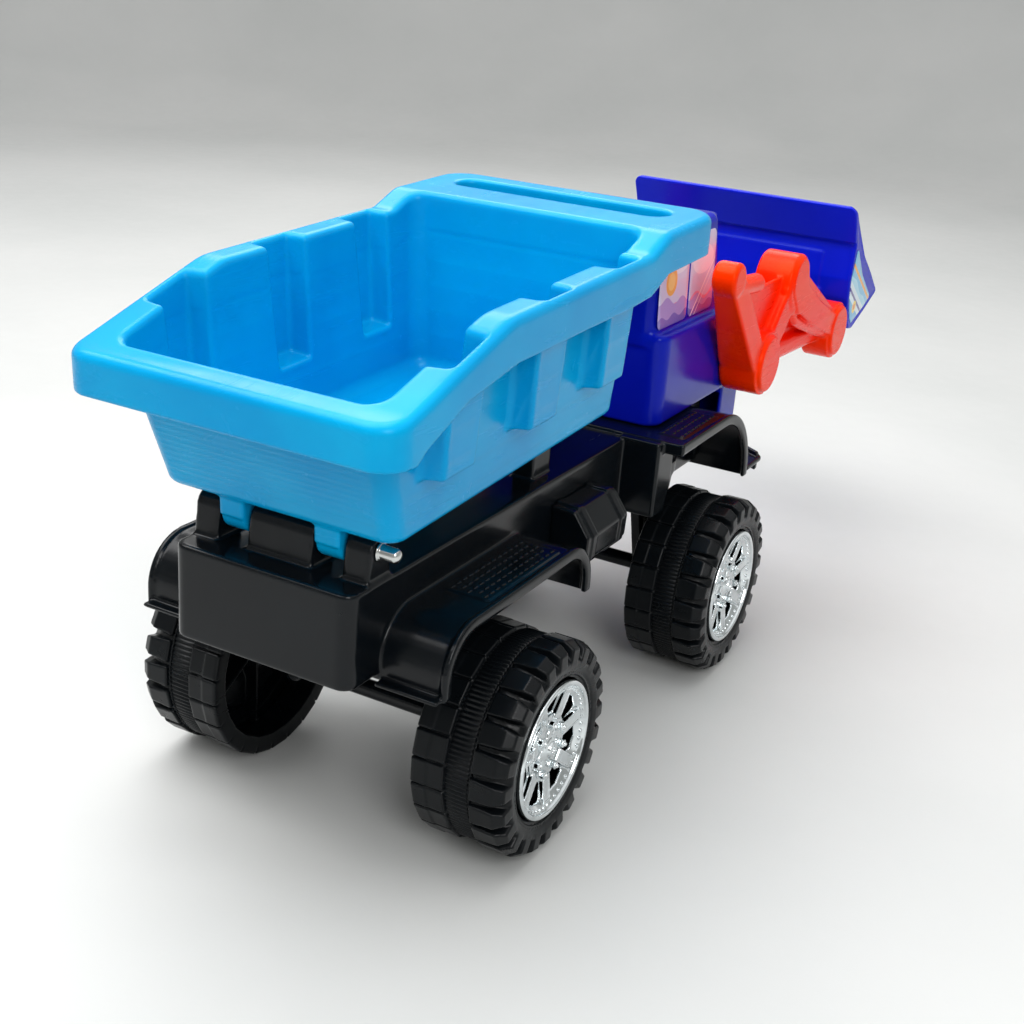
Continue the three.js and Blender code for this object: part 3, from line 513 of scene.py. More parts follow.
def windscreen_print():
    p = Print("label_windscreen", "y", "z", (206, 214, 240))
    p.round(-30, 366, 26, 12, (238, 236, 250))
    p.round(26, 360, 24, 12, (238, 236, 250))
    p.round(0, 372, 10, 10, (250, 190, 104))
    p.below(0.0, 336, (232, 158, 190), 4.0, 58.0)
    p.below(0.0, 326, (128, 110, 196), 2.5, 40.0)
    p.band(0.55, 348, 0.9, (250, 248, 252))
    return p.done()


def bucket_print():
    p = Print("label_bucket", "x", "z", (120, 196, 236))
    p.below(-0.62, 748, (168, 222, 244), 2.0, 40.0)
    p.band(-0.62, 758, 2.4, (250, 172, 60))
    p.below(-0.62, 740, (224, 240, 248))
    p.band(-0.62, 731, 2.0, (76, 60, 150))
    p.below(-0.62, 722, (98, 180, 228))
    p.round(734, 268, 7, 7, (250, 214, 88))
    p.round(734, 268, 3.4, 3.4, (236, 120, 60))
    return p.done()


LABEL_SIDE = side_window_print()
LABEL_FRONT = windscreen_print()
LABEL_BUCKET = bucket_print()

# ------------------------------------------------------------------ dump bin
BIN = {"rear": -176, "front": 297, "half": 124.7, "floor": 259.5, "skin": 3.4}


def dump_bin():
    s = Space((-182, 0, 226), (303, 130, 412), 1.4 / COARSE, mirror=True)
    x, y, z = s.x, s.y, s.z
    skin = BIN["skin"]
    under = shape(x, z, soft([
        (-300, 120), (-300, 361), (-161, 361, 60), (-43, 394, 60), (166, 394, 28), (197, 405, 28), (420, 405), (420, 120),
    ], 12))
    over = shape(x, z, soft([
        (-300, 330.5), (-150, 331.5, 8), (-140, 338, 10), (-95, 354.5, 30), (-35, 363, 30), (126, 361, 30), (167, 362, 20),
        (197, 373, 14), (420, 374), (420, 520), (-300, 520),
    ], 8))
    plan = shape(x, y, soft([
        (BIN["rear"], -BIN["half"], 21), (BIN["front"], -BIN["half"], 27), (BIN["front"], BIN["half"], 27), (BIN["rear"],
            BIN["half"], 21),
    ], 14))
    lid = meet(meet(plan, under, 7), over, 1.1)
    lid_inside = meet(plan + skin, under + skin, 4.5)

    rise = (z - BIN["floor"]) / 150.5
    half, back, nose = 93 + 12 * rise, -123 - 47 * rise, 190 + 10.5 * rise

    def walls(inset, corner):
        u = abs(x - (back + nose) / 2) - (nose - back) / 2 + inset + corner
        v = y - half + inset + corner
        return np.hypot(most(u, 0), most(v, 0)) + least(most(u, v), 0) - corner

    up = np.clip((z - 304) / 106, -0.4, 1.1)

    def pockets(grow):
        taper = 4 * np.clip((y - 80) / 32, 0, 1.4)
        found = None
        for middle in (-84, 26, 133):
            one = meet(abs(x - middle) - (20 + 5 * up + grow - taper), y - (111 + 7 * up + grow), 3.2)
            one = meet(one, 304 - grow - z + (y - 95) * 0.12, 2.2)
            found = one if found is None else least(found, one)
        return found

    body = meet(walls(0, 15), BIN["floor"] - z, 6.5)
    body = join(body, pockets(skin), 3.5)
    room = meet(walls(skin, 13), BIN["floor"] + skin - z, 9)
    room = join(room, pockets(0), 3.0)
    solid = join(lid, meet(body, under), 0)
    solid = take(solid, room, 4.6)
    slot = rect(x, y, 241, 271, -96, 96, 14.5)
    slot_wall = meet(slot - skin, 381 - z, 1.0)
    gap = take(lid_inside, least(body, slot_wall), 2.5)
    solid = take(solid, gap, 0.7)
    solid = take(solid, meet(slot, 360 - z), 3.2)
    ear = least(disc(x, z, *TIP, 12), rect(x, z, TIP[0] - 14, TIP[0] + 14, TIP[1], 264, 1))
    solid = join(solid, meet(ear, slab(y, 28, 48), 1.5), 3)
    solid = take(solid, disc(x, z, *TIP, 3.4) + 0 * y)
    points, faces = s.skin(solid)
    # the bin sits with its front a little high
    px, pz = points[:, 0] - TIP[0], points[:, 2] - TIP[1]
    c, sn = math.cos(BIN_TILT), math.sin(BIN_TILT)
    points[:, 0], points[:, 2] = TIP[0] + px * c - pz * sn, TIP[1] + pz * c + px * sn
    piece("bin_shell", (points, faces), "bin", BIN_BLUE, ["dump_bin"])


# ------------------------------------------------------------------ chassis
def rear_fender_region(x, z, offset, down=0):
    cx, cz, r = 70, 166, 34 - offset
    return shape(x, z, [(-104 + offset, 154 - down)] + arc(-cx, cz, r, 180, 90, 14) + arc(cx, cz, r, 90, 0,
        14) + [(104 - offset, 158 - down)])


def deck_region(x, z, offset, rear=270, down=153):
    return shape(x, z, [(rear, down), (rear, 229 - offset)] + arc(372, 153, 76 - offset, 90, 0, 28) + [(448 - offset, down)])


def chassis():
    s = Space((-144, 0, 64), (453, 128, 262), 1.45, mirror=True)
    x, y, z = s.x, s.y, s.z
    top = meet(rect(x, y, -139, 448, -72, 72, 11), slab(z, 158, 226), 2.6)
    hollow = meet(rect(x, y, -136, 445, -69, 69, 8), slab(z, 100, 223), 1.5)
    frame_shell = take(top, hollow)

    fender = meet(most(rear_fender_region(x, z, 0), -rear_fender_region(x, z, 3, 30)), slab(y, 60, 124), 0.8)
    bead = meet(most(rear_fender_region(x, z, -2), -rear_fender_region(x, z, 7, 30)), slab(y, 119.3, 124.3), 1.8)
    flange = meet(rect(x, z, -113, -102, 154, 157.2, 1.2), slab(y, 74, 122), 1.2)
    deck = meet(most(deck_region(x, z, 0), -deck_region(x, z, 3.5, 200, 100)), abs(y) - 124, 0.8)
    deck_bead = meet(most(deck_region(x, z, -0.8), -deck_region(x, z, 9, 200, 100)), slab(y, 120.3, 124.4), 1.7)
    lip = meet(rect(x, z, 269.2, 273, 219, 229, 1.4), slab(y, 60, 124), 1.2)
    pod = meet(shape(x, z, soft([(262, 161, 3), (286, 161, 5), (296, 186, 5), (296, 228), (262, 228)], 5)), slab(y, 68,
        106), 2.4)
    pod = take(pod, meet(rect(x, z, 265, 310, 120, 225.5, 2), slab(y, 60, 103), 1))
    for added, rounding in ((fender, 2.2), (bead, 0.8), (flange, 1.2), (deck, 1.5), (deck_bead, 0.8), (lip, 1.0), (pod, 2.0)):
        frame_shell = join(frame_shell, added, rounding)
    # tread plates, slightly proud
    pads = least(
        meet(rect(x, y, -42, 66, 80, 116, 3), slab(z, 196, 201), 0.7), meet(rect(x, y, 286, 368, 92, 117, 3), slab(z, 225,
            230), 0.7)
    )
    frame_shell = join(frame_shell, pads, 0.5)
    # hinge lugs, rest blocks
    lug = shape(x, z, [(TIP[0] - 13, 222), (TIP[0] + 13, 222), (TIP[0] + 13, 228)] + arc(*TIP, 11, 0, 180,
        16) + [(TIP[0] - 13, 228)])
    lugs = meet(lug, least(slab(y, 50, 70), slab(y, -26, 26)), 1.6)
    frame_shell = join(frame_shell, lugs, 3.2)
    rise = math.tan(BIN_TILT)
    rest_top = TIP[1] + (BIN["floor"] - TIP[1]) / math.cos(BIN_TILT) + (x - TIP[0]) * rise - 0.3
    rest = meet(meet(slab(x, 120, 150), slab(y, 42, 60), 2), meet(z - rest_top, 223 - z), 1.5)
    frame_shell = join(frame_shell, rest, 2.5)
    # legs down to the axles, and the axle tubes
    for axle in (0, WHEELBASE):
        leg = shape(x, z, soft([(axle - 40, 172), (axle + 40, 172), (axle + 40, 164, 4), (axle + 13, 80)], 4)[:-1]
                    + arc(axle, 80, 13, -8, -172, 18) + [(axle - 40, 164)])
        leg = meet(leg, slab(y, 62, 72), 1.6)
        leg = join(leg, meet(disc(x, z, axle, 80, 15.5), slab(y, 66, 73.2), 1.2), 1.0)
        frame_shell = join(frame_shell, leg, 2.5)
        frame_shell = join(frame_shell, meet(disc(x, z, axle, 78, 7), abs(y) - 63, 0.5), 1.5)
        frame_shell = take(frame_shell, disc(x, z, axle, 80, 3.3) + 0 * y)
    frame_shell = take(frame_shell, meet(rect(x, y, -136, 445, -62, 62, 8), slab(z, 150, 223)))
    frame_shell = take(frame_shell, disc(x, z, *TIP, 3.3) + 0 * y)
    parts = [s.skin(frame_shell)]
    # rows of oval grip bumps on the tread plates
    for x0, x1, y0, y1, level in ((-36, 60, 85, 111, 200.9), (291, 363, 96, 113, 229.9)):
        columns, rows = int((x1 - x0) / 8) + 1, int((y1 - y0) / 6.5) + 1
        for i in range(columns):
            for j in range(rows):
                shift = 4 if j % 2 else 0
                cx = x0 + i * 8 + shift
                if cx > x1:
                    continue
                bump = dome((cx, y0 + j * (y1 - y0) / (rows - 1), level), (2.7, 1.5, 1.0))
                parts += [bump, other_side(bump)]
    piece("chassis_shell", merged(*parts), "frame", FRAME_BLACK, ["chassis"])


def side_tanks():
    s = Space((129, 66, 146), (213, 112, 212), 1.0)
    x, y, z = s.x, s.y, s.z
    section = [(60, 205), (92, 203.5, 4), (106, 184, 4), (105, 165, 4), (93, 153, 4), (60, 153)]
    grown = [(86 + (a[0] - 86) * 1.07, 179 + (a[1] - 179) * 1.07) + tuple(a[2:]) for a in section]
    body = meet(shape(y, z, soft(section)), slab(x, 134, 208), 1.6)
    straps = meet(shape(y, z, soft(grown)), least(slab(x, 141, 150), slab(x, 192, 201)), 0.7)
    tank = join(body, straps, 0.5)
    tank = meet(tank, 72.3 - y)
    pair("tank_{}", s.skin(tank), "frame", FRAME_BLACK, "side_tank_{}")


def bumper():
    s = Space((444, 0, 142), (520, 128, 169), 1.0, mirror=True)
    x, y, z = s.x, s.y, s.z
    plate = meet(shape(x, y, soft([(448.4, -124, 3), (490, -124,
        8), (514, -88, 12), (514, 88, 12), (490, 124, 8), (448.4, 124, 3)])), slab(z, 156, 161), 1.4)
    beam = shape(x, y, [(490, -120), (514, -86), (514, 86), (490, 120), (484, 120), (506, 84), (506, -84), (484, -120)])
    beam = meet(beam, slab(z, 146, 165), 2.2)
    beam = take(beam, meet(slab(z, 153.5, 157.5), 512.6 - x), 0.8)
    step = meet(rect(x, y, 462, 488, -70, 70, 4), slab(z, 160, 162), 0.6)
    part = s.skin(join(join(plate, beam, 2.0), step, 0.5))
    bumps = []
    for i in range(17):
        for j in range(3):
            bumps.append(dome((467 + 8 * j, -64 + 8 * i, 161.9), (1.5, 2.6, 0.9)))
    piece("bumper", merged(part, *bumps), "frame", FRAME_BLACK, ["front_bumper"])


# ------------------------------------------------------------------ cab
def cab():
    s = Space((289, 0, 164), (516, 92, 402), 1.2, mirror=True)
    x, y, z = s.x, s.y, s.z
    outline = soft([
        (293.5, 229.4, 1.5), (293.5, 310, 6), (450, 310, 14), (497, 302, 10), (509, 290, 12), (509, 169, 4), (452, 169,
            3), (452, 229.4, 1.0),
    ], 8)
    lower = meet(shape(x, z, outline), rect(x, y, 293.5, 509, -87, 87, 16), 4.5)
    up = (z - 308) / 90
    half, front, corner = 77 - 4 * up, 446 - 15 * up, 14 - 2 * up

    def upper(inset, top, edge):
        mid = (293.5 + front) / 2
        u = abs(x - mid) - (front - 293.5) / 2 + inset + corner
        v = y - half + inset + corner
        return meet(np.hypot(most(u, 0), most(v, 0)) + least(most(u, v), 0) - corner, z - top, edge)

    solid = join(lower, meet(upper(0, 398, 8), 300 - z), 4.0)
    solid = join(solid, meet(rect(x, y, 404, 438, -68, 68, 7), slab(z, 390, 396.5), 2.5), 2.5)
    # roof panel, a little proud, with a soft step round it
    solid = join(solid, meet(rect(x, y, 306, 404, -58, 58, 10), slab(z, 390, 399.2), 1.2), 1.2)
    inner = meet(shape(x, z, soft([(296.5, 120), (296.5, 307, 4),
        (449, 307, 12), (496, 299, 8), (506, 288, 8), (506, 120)], 5)), rect(x, y, 296.5, 506, -84, 84, 13), 2)
    inner = meet(inner, -meet(slab(x, 200, 455), 226 - z))
    solid = take(solid, inner)
    solid = take(solid, meet(upper(3, 395, 6), 300 - z))
    # mouldings on the nose
    bars = None
    for i in range(6):
        one = meet(rect(x, z, 500, 511.6, 196 + 13 * i, 203 + 13 * i, 1.8), abs(y) - 46, 1.8)
        bars = one if bars is None else least(bars, one)
    solid = join(solid, meet(bars, 507 - x), 1.4)
    lamp = meet(rect(y, z, 53, 79, 214, 246, 7), slab(x, 500, 512), 2.5)
    lamp = take(lamp, meet(rect(y, z, 56.5, 75.5, 217.5, 242.5, 5), 510.3 - x), 0.8)
    solid = join(solid, meet(lamp, 507 - x), 1.2)
    solid = join(solid, meet(disc(x, z, *LIFT, 16), slab(y, 80, 88.2), 1.4), 2.0)
    solid = take(solid, disc(x, z, *LIFT, 7.3) + 0 * y + 1000 * (y < 60))
    piece("cab_shell", s.skin(solid), "frame", CAB_BLUE, ["cab"])


# ------------------------------------------------------------------ loader arms
POST_FOOT = (444, 262)
LIMBS = [
    # from, to, radius at each end, inner and outer y, edge radius
    (TAIL, (TAIL[0] + 0.01, TAIL[1]), 14, 14, 106, 126, 3.2),
    (CRANK, (CRANK[0] + 0.01, CRANK[1]), 28, 28, 86.6, 125, 4.0),
    (LIFT, (LIFT[0] + 0.01, LIFT[1]), 30, 30, 88.6, 126, 2.5),
    (BUCKET, (BUCKET[0] + 0.01, BUCKET[1]), 30, 30, 96, 126, 2.5),
    (TAIL, POST_FOOT, 13, 14, 104, 125, 2.6),
    (CRANK, LIFT, 15, 15, 96, 124, 3.0),
    (CRANK, (BUCKET[0], BUCKET[1] + 4), 17, 14, 100, 124.5, 5.0),
    (LIFT, BUCKET, 10.5, 10.5, 98, 116, 7.5),
]


def loader_arms():
    s = Space((332, 84, 216), (720, 132, 380), 1.1)
    x, y, z = s.x, s.y, s.z
    outside = inside = None
    for p, q, r0, r1, y0, y1, edge in LIMBS:
        flat = bar(x, z, p, q, r0, r1)
        if q == POST_FOOT:
            y0 = y0 - np.interp(z, [268, 345], [14.0, 0.0]).astype(f32)
        one = meet(flat, slab(y, y0, y1), edge)
        outside = one if outside is None else join(outside, one, 3.5)
        hole = meet(flat + 3.2, slab(y, 70, y1 - 3.2), 1.0)
        inside = hole if inside is None else least(inside, hole)
    rear_web = meet(shape(x, z, [(358, 336), (408, 334), (CRANK[0] - 18, CRANK[1] + 8), CRANK, LIFT]), slab(y, 110,
        114.0), 0.5)
    front_web = meet(shape(x, z, [LIFT, BUCKET, CRANK]), slab(y, 104.5, 108.5), 0.5)
    tubes = least(meet(disc(x, z, *LIFT, 11), slab(y, 88.6, 125)), meet(disc(x, z, *BUCKET, 7), slab(y, 96, 125)))
    arm = take(outside, inside, 0.8)
    arm = join(arm, least(rear_web, front_web), 3.0)
    arm = join(arm, tubes, 1.0)
    # the thick part of the front plate, above the curved rib
    thick = shape(x, z, [(508, 318), (518, 303), (540, 288), (566, 279), (600, 271), (636, 263), (668, 262), (676, 270),
        (600, 300), (552, 322)])
    arm = join(arm, meet(thick, slab(y, 104.5, 118.5), 1.0), 2.5)
    # round stub beside the post
    stub = bar(x, z, (TAIL[0] + 4, TAIL[1] - 9), (TAIL[0] + 66, TAIL[1] - 14), 0.0)
    arm = join(arm, np.hypot(stub, y - 117.0) - 8.8, 0.8)
    # an outer plate on each drum, with a narrow groove behind its edge
    for c in (LIFT, BUCKET):
        radius = disc(x, z, *c, 0.0)
        arm = take(arm, np.hypot(radius - 28.4, y - 126.2) - 1.5, 0.6)
        arm = join(arm, meet(radius - 26.6, slab(y, 120, 129.0), 2.4), 0.5)
    # long plate on the crank, running down the upper limb, with the curved rib below it
    plate = least(least(bar(x, z, (528, 330), (540, 312), 21.5, 18), bar(x, z, (540, 312), (600, 284), 16, 13.5)), bar(x,
        z, (600, 284), (672, 258), 13.5, 12))
    arm = join(arm, meet(plate, slab(y, 118, 127.2), 2.2), 1.6)
    way = [(505, 322), (516, 304), (540, 287), (566, 278), (600, 268), (636, 257), (660, 251)]
    arm = join(arm, np.hypot(chain(x, z, way), y - 119.5) - 5.0, 2.0)
    arm = take(arm, disc(x, z, *LIFT, 7.3) + most(0 * y, (y - 120.3) * 9))
    arm = take(arm, disc(x, z, *BUCKET, 3.3) + most(0 * y, (y - 120.3) * 9))
    pair("arm_{}", s.skin(arm), "loader_arms", LOADER_RED, "loader_arm_{}")
    pin = outward(shifted(turned([
        (0, 80), (5.4, 80), (6.2, 80.4), (7, 82), (7, 100), (7, 118), (6.6, 119.2), (5.5, 120), (0, 120),
    ], 64), LIFT[0], 0, LIFT[1]))
    pair("pivot_pin_{}", pin, "frame", LOADER_RED, "arm_pivot_pin_{}", sharp=40)


# ------------------------------------------------------------------ bucket
def bucket():
    s = Space((679, 0, 238), (824, 131, 386), 1.05, mirror=True)
    x, y, z = s.x, s.y, s.z
    back = [(685, 379), (704, 343), (708, 340), (703, 302), (706, 281), (711, 268), (718, 254), (727, 245), (740, 243),
        (781, 256), (819, 270)]
    front = [(819.5, 272.6), (780, 259.2), (740, 246.4), (729, 248), (721, 256), (714.5, 269), (709.5, 282), (706.5, 302),
        (711.5, 341), (688.5, 381)]
    outline = back + front
    softened = soft([(a, b, r) for (a, b), r in zip(outline, [1,
        3, 3, 14, 14, 14, 10, 10, 20, 40, 1, 1, 40, 20, 8, 8, 12, 12, 12, 3, 1])], 5)
    blade = meet(shape(x, z, softened), abs(y) - 126, 1.0)
    cheek = soft([
        (704.5, 302, 10), (707.5, 281, 10), (712.5, 268, 10), (719.5, 254.5, 8), (728, 246, 8), (740, 244, 10), (781,
            257), (819, 270.5, 2), (819, 275, 3),
        (786, 298, 30), (748, 322, 30), (716, 352, 14), (701, 367, 10), (688, 380.5, 1), (686, 379, 1), (707, 341, 4),
    ], 5)
    sides = meet(shape(x, z, cheek), slab(y, 123, 126.4), 1.2)
    # a rolled bead along the free edge of each cheek
    edge = chain(x, z, [(819, 273), (786, 296.5), (748, 320.5), (716, 350), (700, 365), (688, 379)])
    bucket_solid = join(blade, sides, 3.0)
    bucket_solid = join(bucket_solid, np.hypot(edge, y - 124.8) - 2.1, 1.2)
    # fold line and a low raised pad on the back
    frame_band = meet(shape(x, z, [(684.5, 379.5), (702.0, 341.8), (708, 342.5), (690, 381)]), abs(y) - 126.4, 0.8)
    bucket_solid = join(bucket_solid, frame_band, 1.5)
    pad = meet(shape(x, z, [(708, 329), (705.0, 326), (703.2, 288), (706.8, 283), (709, 300)]), abs(y) - 92, 1.4)
    bucket_solid = join(bucket_solid, pad, 3.0)
    ear = shape(x, z, [(721, 253), (707, 291)] + arc(BUCKET[0], BUCKET[1], 15, 108, 270, 20))
    bucket_solid = join(bucket_solid, meet(ear, slab(y, 84, 95), 1.8), 2.5)
    # rounded upper corners
    bucket_solid = meet(bucket_solid, rect(y, z, -126.9, 126.9, 200, 381.6, 11) + 0 * x, 0.5)
    bucket_solid = take(bucket_solid, disc(x, z, *BUCKET, 3.4) + 0 * y)
    piece("bucket_shell", s.skin(bucket_solid), "bucket", BUCKET_BLUE, ["bucket"])


# ------------------------------------------------------------------ wheels
def folded(a, b, count, start=-math.pi / 2):
    """The position in the nearest of count equal sectors: (along its middle line, across it)."""
    step = 2 * math.pi / count
    angle = (np.arctan2(b, a) - start + step / 2) % step - step / 2
    radius = np.hypot(a, b)
    return radius * np.cos(angle), radius * np.sin(angle)


def tyre_outer():
    s = Space((-84, 128, -84), (84, 160, 84), 1.0)
    x, y, z = s.x, s.y, s.z
    u, v = folded(x, z, LUGS)
    r = np.hypot(x, z)
    ring = shape(r, y, soft([
        (67, 131.3), (76.4, 131.3, 0.5), (76.2, 137, 24), (73.6, 146.5, 16), (69.0, 153.6, 8), (65.2, 157.2, 2.5), (59.4,
            156.2, 7),
        (55.4, 153.4, 6), (52.8, 152.9, 1), (52.2, 149.2, 0.5), (58, 149), (67, 145, 3),
    ], 6))
    half = np.interp(y, [131, 149, 156, 158], [8.4, 7.2, 5.4, 5.0]).astype(f32)
    profile = shape(u, y + 0 * u, soft([
        (60, 131.3), (79.9, 131.3, 0.8), (79.9, 149.6, 0.9), (75.2, 157.0, 1.1), (67, 157.3, 2.0), (62, 156.4, 1.0), (60,
            150),
    ], 4))
    lugs = meet(profile, abs(v) - half, 0.7)
    tyre = join(ring, lugs, 0.9)
    tyre = take(tyre, shape(r, y, [(0, 120), (67, 120), (67, 144.5), (58, 148.9), (52, 148.9), (52, 170), (0, 170)]))
    tyre = join(tyre, np.hypot(r - 56.3, y - 154.6) - 0.9, 0.5)
    return s.skin(tyre)


def tyre_inner():
    s = Space((-84, 81, -84), (84, 134, 84), 1.0)
    x, y, z = s.x, s.y, s.z
    u, v = folded(x, z, LUGS)
    r = np.hypot(x, z)
    profile = shape(u, y + 0 * u, soft([(66, 86), (76, 85, 1), (79.2, 85, 1.2), (79.9, 87, 1.5), (79.9, 97.4, 0.3),
        (79.3, 97.9, 0.3), (79.3, 111, 0.8), (66, 111)], 4))
    lugs = meet(profile, abs(v) - (9.75 - 0.35 * (y > 97.6)), 0.5)
    skin = shape(r, y, soft([
        (71, 86, 1), (77.4, 86, 1), (77.8, 98, 20), (77.4, 111, 1), (76.3, 111.6, 0.5), (76.3, 130.6, 0.5), (71, 130.8, 0.5),
    ], 5))
    tyre = join(skin, lugs, 0.4)
    plate = shape(r, y, soft([
        (9, 122), (24, 122, 2), (30, 119, 3), (52, 119, 3), (58, 122, 3), (72, 122), (72, 126), (58, 126, 3), (52, 123,
            3), (30, 123, 3), (24, 126, 3), (9, 126),
    ], 4))
    tyre = join(tyre, plate, 1.5)
    hub = shape(r, y, [(3.3, 104), (9, 104), (9, 145.6), (3.3, 145.6)])
    ribs = meet(meet(abs(folded(x, z, 6)[1]) - 1.4, slab(y, 108, 122)), slab(r, 6, 68), 0.0)
    tyre = join(join(tyre, hub, 1.2), ribs, 1.0)
    return merged(s.skin(take(tyre, r - 3.3)), fine_band())


def tall_hub():
    """The part of the hub tube that stands out beyond the inner moulding's grid."""
    return outward(turned([(3.3, 130), (9, 130), (9, 144.8), (8.4, 145.6), (3.3, 145.6)], 48, ring=True))


def fine_band():
    """Band of fine ribs along the axle, and a line of small beads at the seam."""
    ribs, beads, per_wave = 135, 120, 8
    profile = [(75.6, 111.0), (76.7, 111.2), (77.2, 111.9), (77.3, 120), (77.3, 128.2), (76.9, 129.2), (75.6, 129.5)]
    weight = [0, 0.5, 1, 1, 1, 0.6, 0]
    seam = 76.6
    circle = [(seam + 1.1 * math.cos(a), 130.4 + 0.95 * math.sin(a)) for a in np.arange(8) * math.pi / 4]

    def rib(angles, i):
        return weight[i] * 0.55 * np.cos(angles * ribs)

    def bead(angles, i):
        return 0.35 * np.cos(angles * beads) * (1 if circle[i][0] > seam else 0)

    band = outward(turned(profile, ribs * per_wave, rib, ring=True))
    return merged(band, outward(turned(circle, beads * per_wave, bead, ring=True)))


def hubcap():
    s = Space((-54, 143, -54), (54, 160, 54), 0.62)
    x, y, z = s.x, s.y, s.z
    r = np.hypot(x, z)
    shell = shape(r, y, soft([
        (0, 145.4), (0, 147.6), (27, 147.6, 2), (40.6, 149.6, 2.5), (44.4, 152.6, 1.5), (47.6, 154.8, 0.8), (48.4, 157.2,
            0.5), (51.2, 157.2, 0.9), (52.0, 155.6, 0.6),
        (51.4, 149.6, 0.6), (50.0, 149.6, 0.5), (49.6, 153.2, 1.0), (46.6, 152.4, 1), (42.0, 147.6, 1.5), (27, 145.4, 2),
    ], 4))
    u, v = folded(x, z, SPOKES, math.pi / 2 + math.pi / SPOKES)
    lean = 151.6 + (u - 24) * 0.12
    spoke = meet(slab(u, 22, 44.5) + 0 * v, meet(abs(v) - 5.0, y - lean, 0.6))
    spoke = meet(spoke, 146 - y)
    cap = join(shell, spoke, 0.8)
    cap = take(cap, meet(meet(slab(u, 25.5, 42.0), abs(v) - 3.7, 0.5), lean - 0.7 - y), 0.3)
    angle = np.arctan2(z, x) - math.pi / 2
    cap = join(cap, meet(r - 25.6, slab(y, 145, 149.8), 0.7), 0.6)
    star = r - (12.6 + 2.4 * np.cos(SPOKES * angle)) + 0 * y
    cap = join(cap, meet(star, slab(y, 146, 151.2), 0.7), 0.6)
    nu, nv = folded(x, z, SPOKES, math.pi / 2)
    hexa = most(abs(nv), abs(nv) * 0.5 + abs(nu - NUT_RING) * SIN_60) - 2.9
    nut = meet(hexa, slab(y, 147, 154.4), 0.5)
    nut = join(nut, meet(np.hypot(nu - NUT_RING, nv) - 1.6, slab(y, 148, 156.2), 0.7), 0.3)
    cap = join(cap, nut, 0.4)
    boss = shape(r, y, soft([(0, 147), (0, 153.2), (2.6, 153.2, 0.4), (3.0, 155.0, 0.5), (5.2, 155.0, 0.7),
        (6.2, 152.6, 0.6), (8.4, 152.2, 0.6), (8.8, 147)], 4))
    cap = join(cap, boss, 0.5)
    wu, wv = folded(x, z, SPOKES, math.pi / 2)
    window = shape(wu, wv, soft([(26.2, -6.8, 1.0), (39.8, -12.6, 3.2), (42.4, 0), (39.8, 12.6, 3.2), (26.2, 6.8, 1.0),
        (26.9, 0)], 4))
    cap = take(cap, meet(window, slab(y, 140, 155)), 0.6)
    rivets = 48
    ru, rv = folded(x, z, rivets, 0.0)
    cap = join(cap, np.sqrt((ru - 45.9) ** 2 + rv ** 2 + (y - 153.9) ** 2) - 1.25, 0.2)
    return s.skin(cap)


def cap_dome(inner, end):
    """A push-on cap: a washer flange and a domed body."""
    return outward(turned([
        (3.3, inner), (6.4, inner), (6.9, inner + 0.3), (6.9, inner + 0.9), (6.3, inner + 1.4), (5.5, inner + 1.7), (5.1,
            inner + 2.4), (5.05, end + 0.8),
        (4.7, end + 2.0), (3.9, end + 3.1), (2.6, end + 3.9), (1.2, end + 4.2), (0, end + 4.25),
    ], 48))


def rod(low, high, stops, radius=3.0, chamfer=0.7):
    """A rod along Y with chamfered ends; stops are the rows of points between them."""
    rows = [(0, low), (radius - chamfer, low), (radius, low + chamfer)] + [(radius, at) for at in stops]
    return outward(turned(rows + [(radius, high - chamfer), (radius - chamfer, high), (0, high)], 40))


def wheels():
    outer, inner, cap = tyre_outer(), merged(tyre_inner(), tall_hub()), hubcap()
    end_cap = outward(turned([
        (3.3, 145.9), (5.2, 145.9), (5.5, 146.3), (5.5, 147.9), (4.9, 149.0), (3.6, 149.9), (1.8, 150.4), (0, 150.5),
    ], 40))
    for end, centre in (("rear", 0.0), ("front", WHEELBASE)):
        for side in ("left", "right"):
            body = f"wheel_{end}_{side}"
            rows = (
                ("tyre_outer", outer, body, TYRE_BLACK, "tyre_black"), ("tyre_inner", inner, body, TYRE_BLACK, "tyre_black"),
                ("hubcap", cap, body, CHROME, "hub_chrome"), ("axle_cap", end_cap, "frame", CAP_STEEL, "cap_steel"),
            )
            for name, part, rides, material, slot in rows:
                there = shifted(part, centre, 0, WHEEL_R)
                there = there if side == "left" else other_side(there)
                piece(f"{name}_{end}_{side}_looks", there, rides, material, [f"{name}_{end}_{side}"])
        piece(f"{end}_axle_looks", shifted(rod(-147, 147, (-73.5, 0, 73.5)), centre, 0, WHEEL_R), "frame", ROD_STEEL,
            [f"{end}_axle"], sharp=40)


def rods():
    hinge = shifted(rod(-81, 69.5, (-40, 0, 40)), TIP[0], 0, TIP[1])
    piece("tip_rod_looks", hinge, "frame", ROD_STEEL, ["tip_rod"], sharp=40)
    across = shifted(rod(-120, 120, (-60, 0, 60)), BUCKET[0], 0, BUCKET[1])
    piece("bucket_rod_looks", across, "loader_arms", ROD_STEEL, ["bucket_rod"], sharp=40)
    cap = other_side(shifted(cap_dome(70.3, 81), TIP[0], 0, TIP[1]))
    piece("tip_rod_cap_looks", cap, "frame", CAP_STEEL, ["tip_rod_cap"])


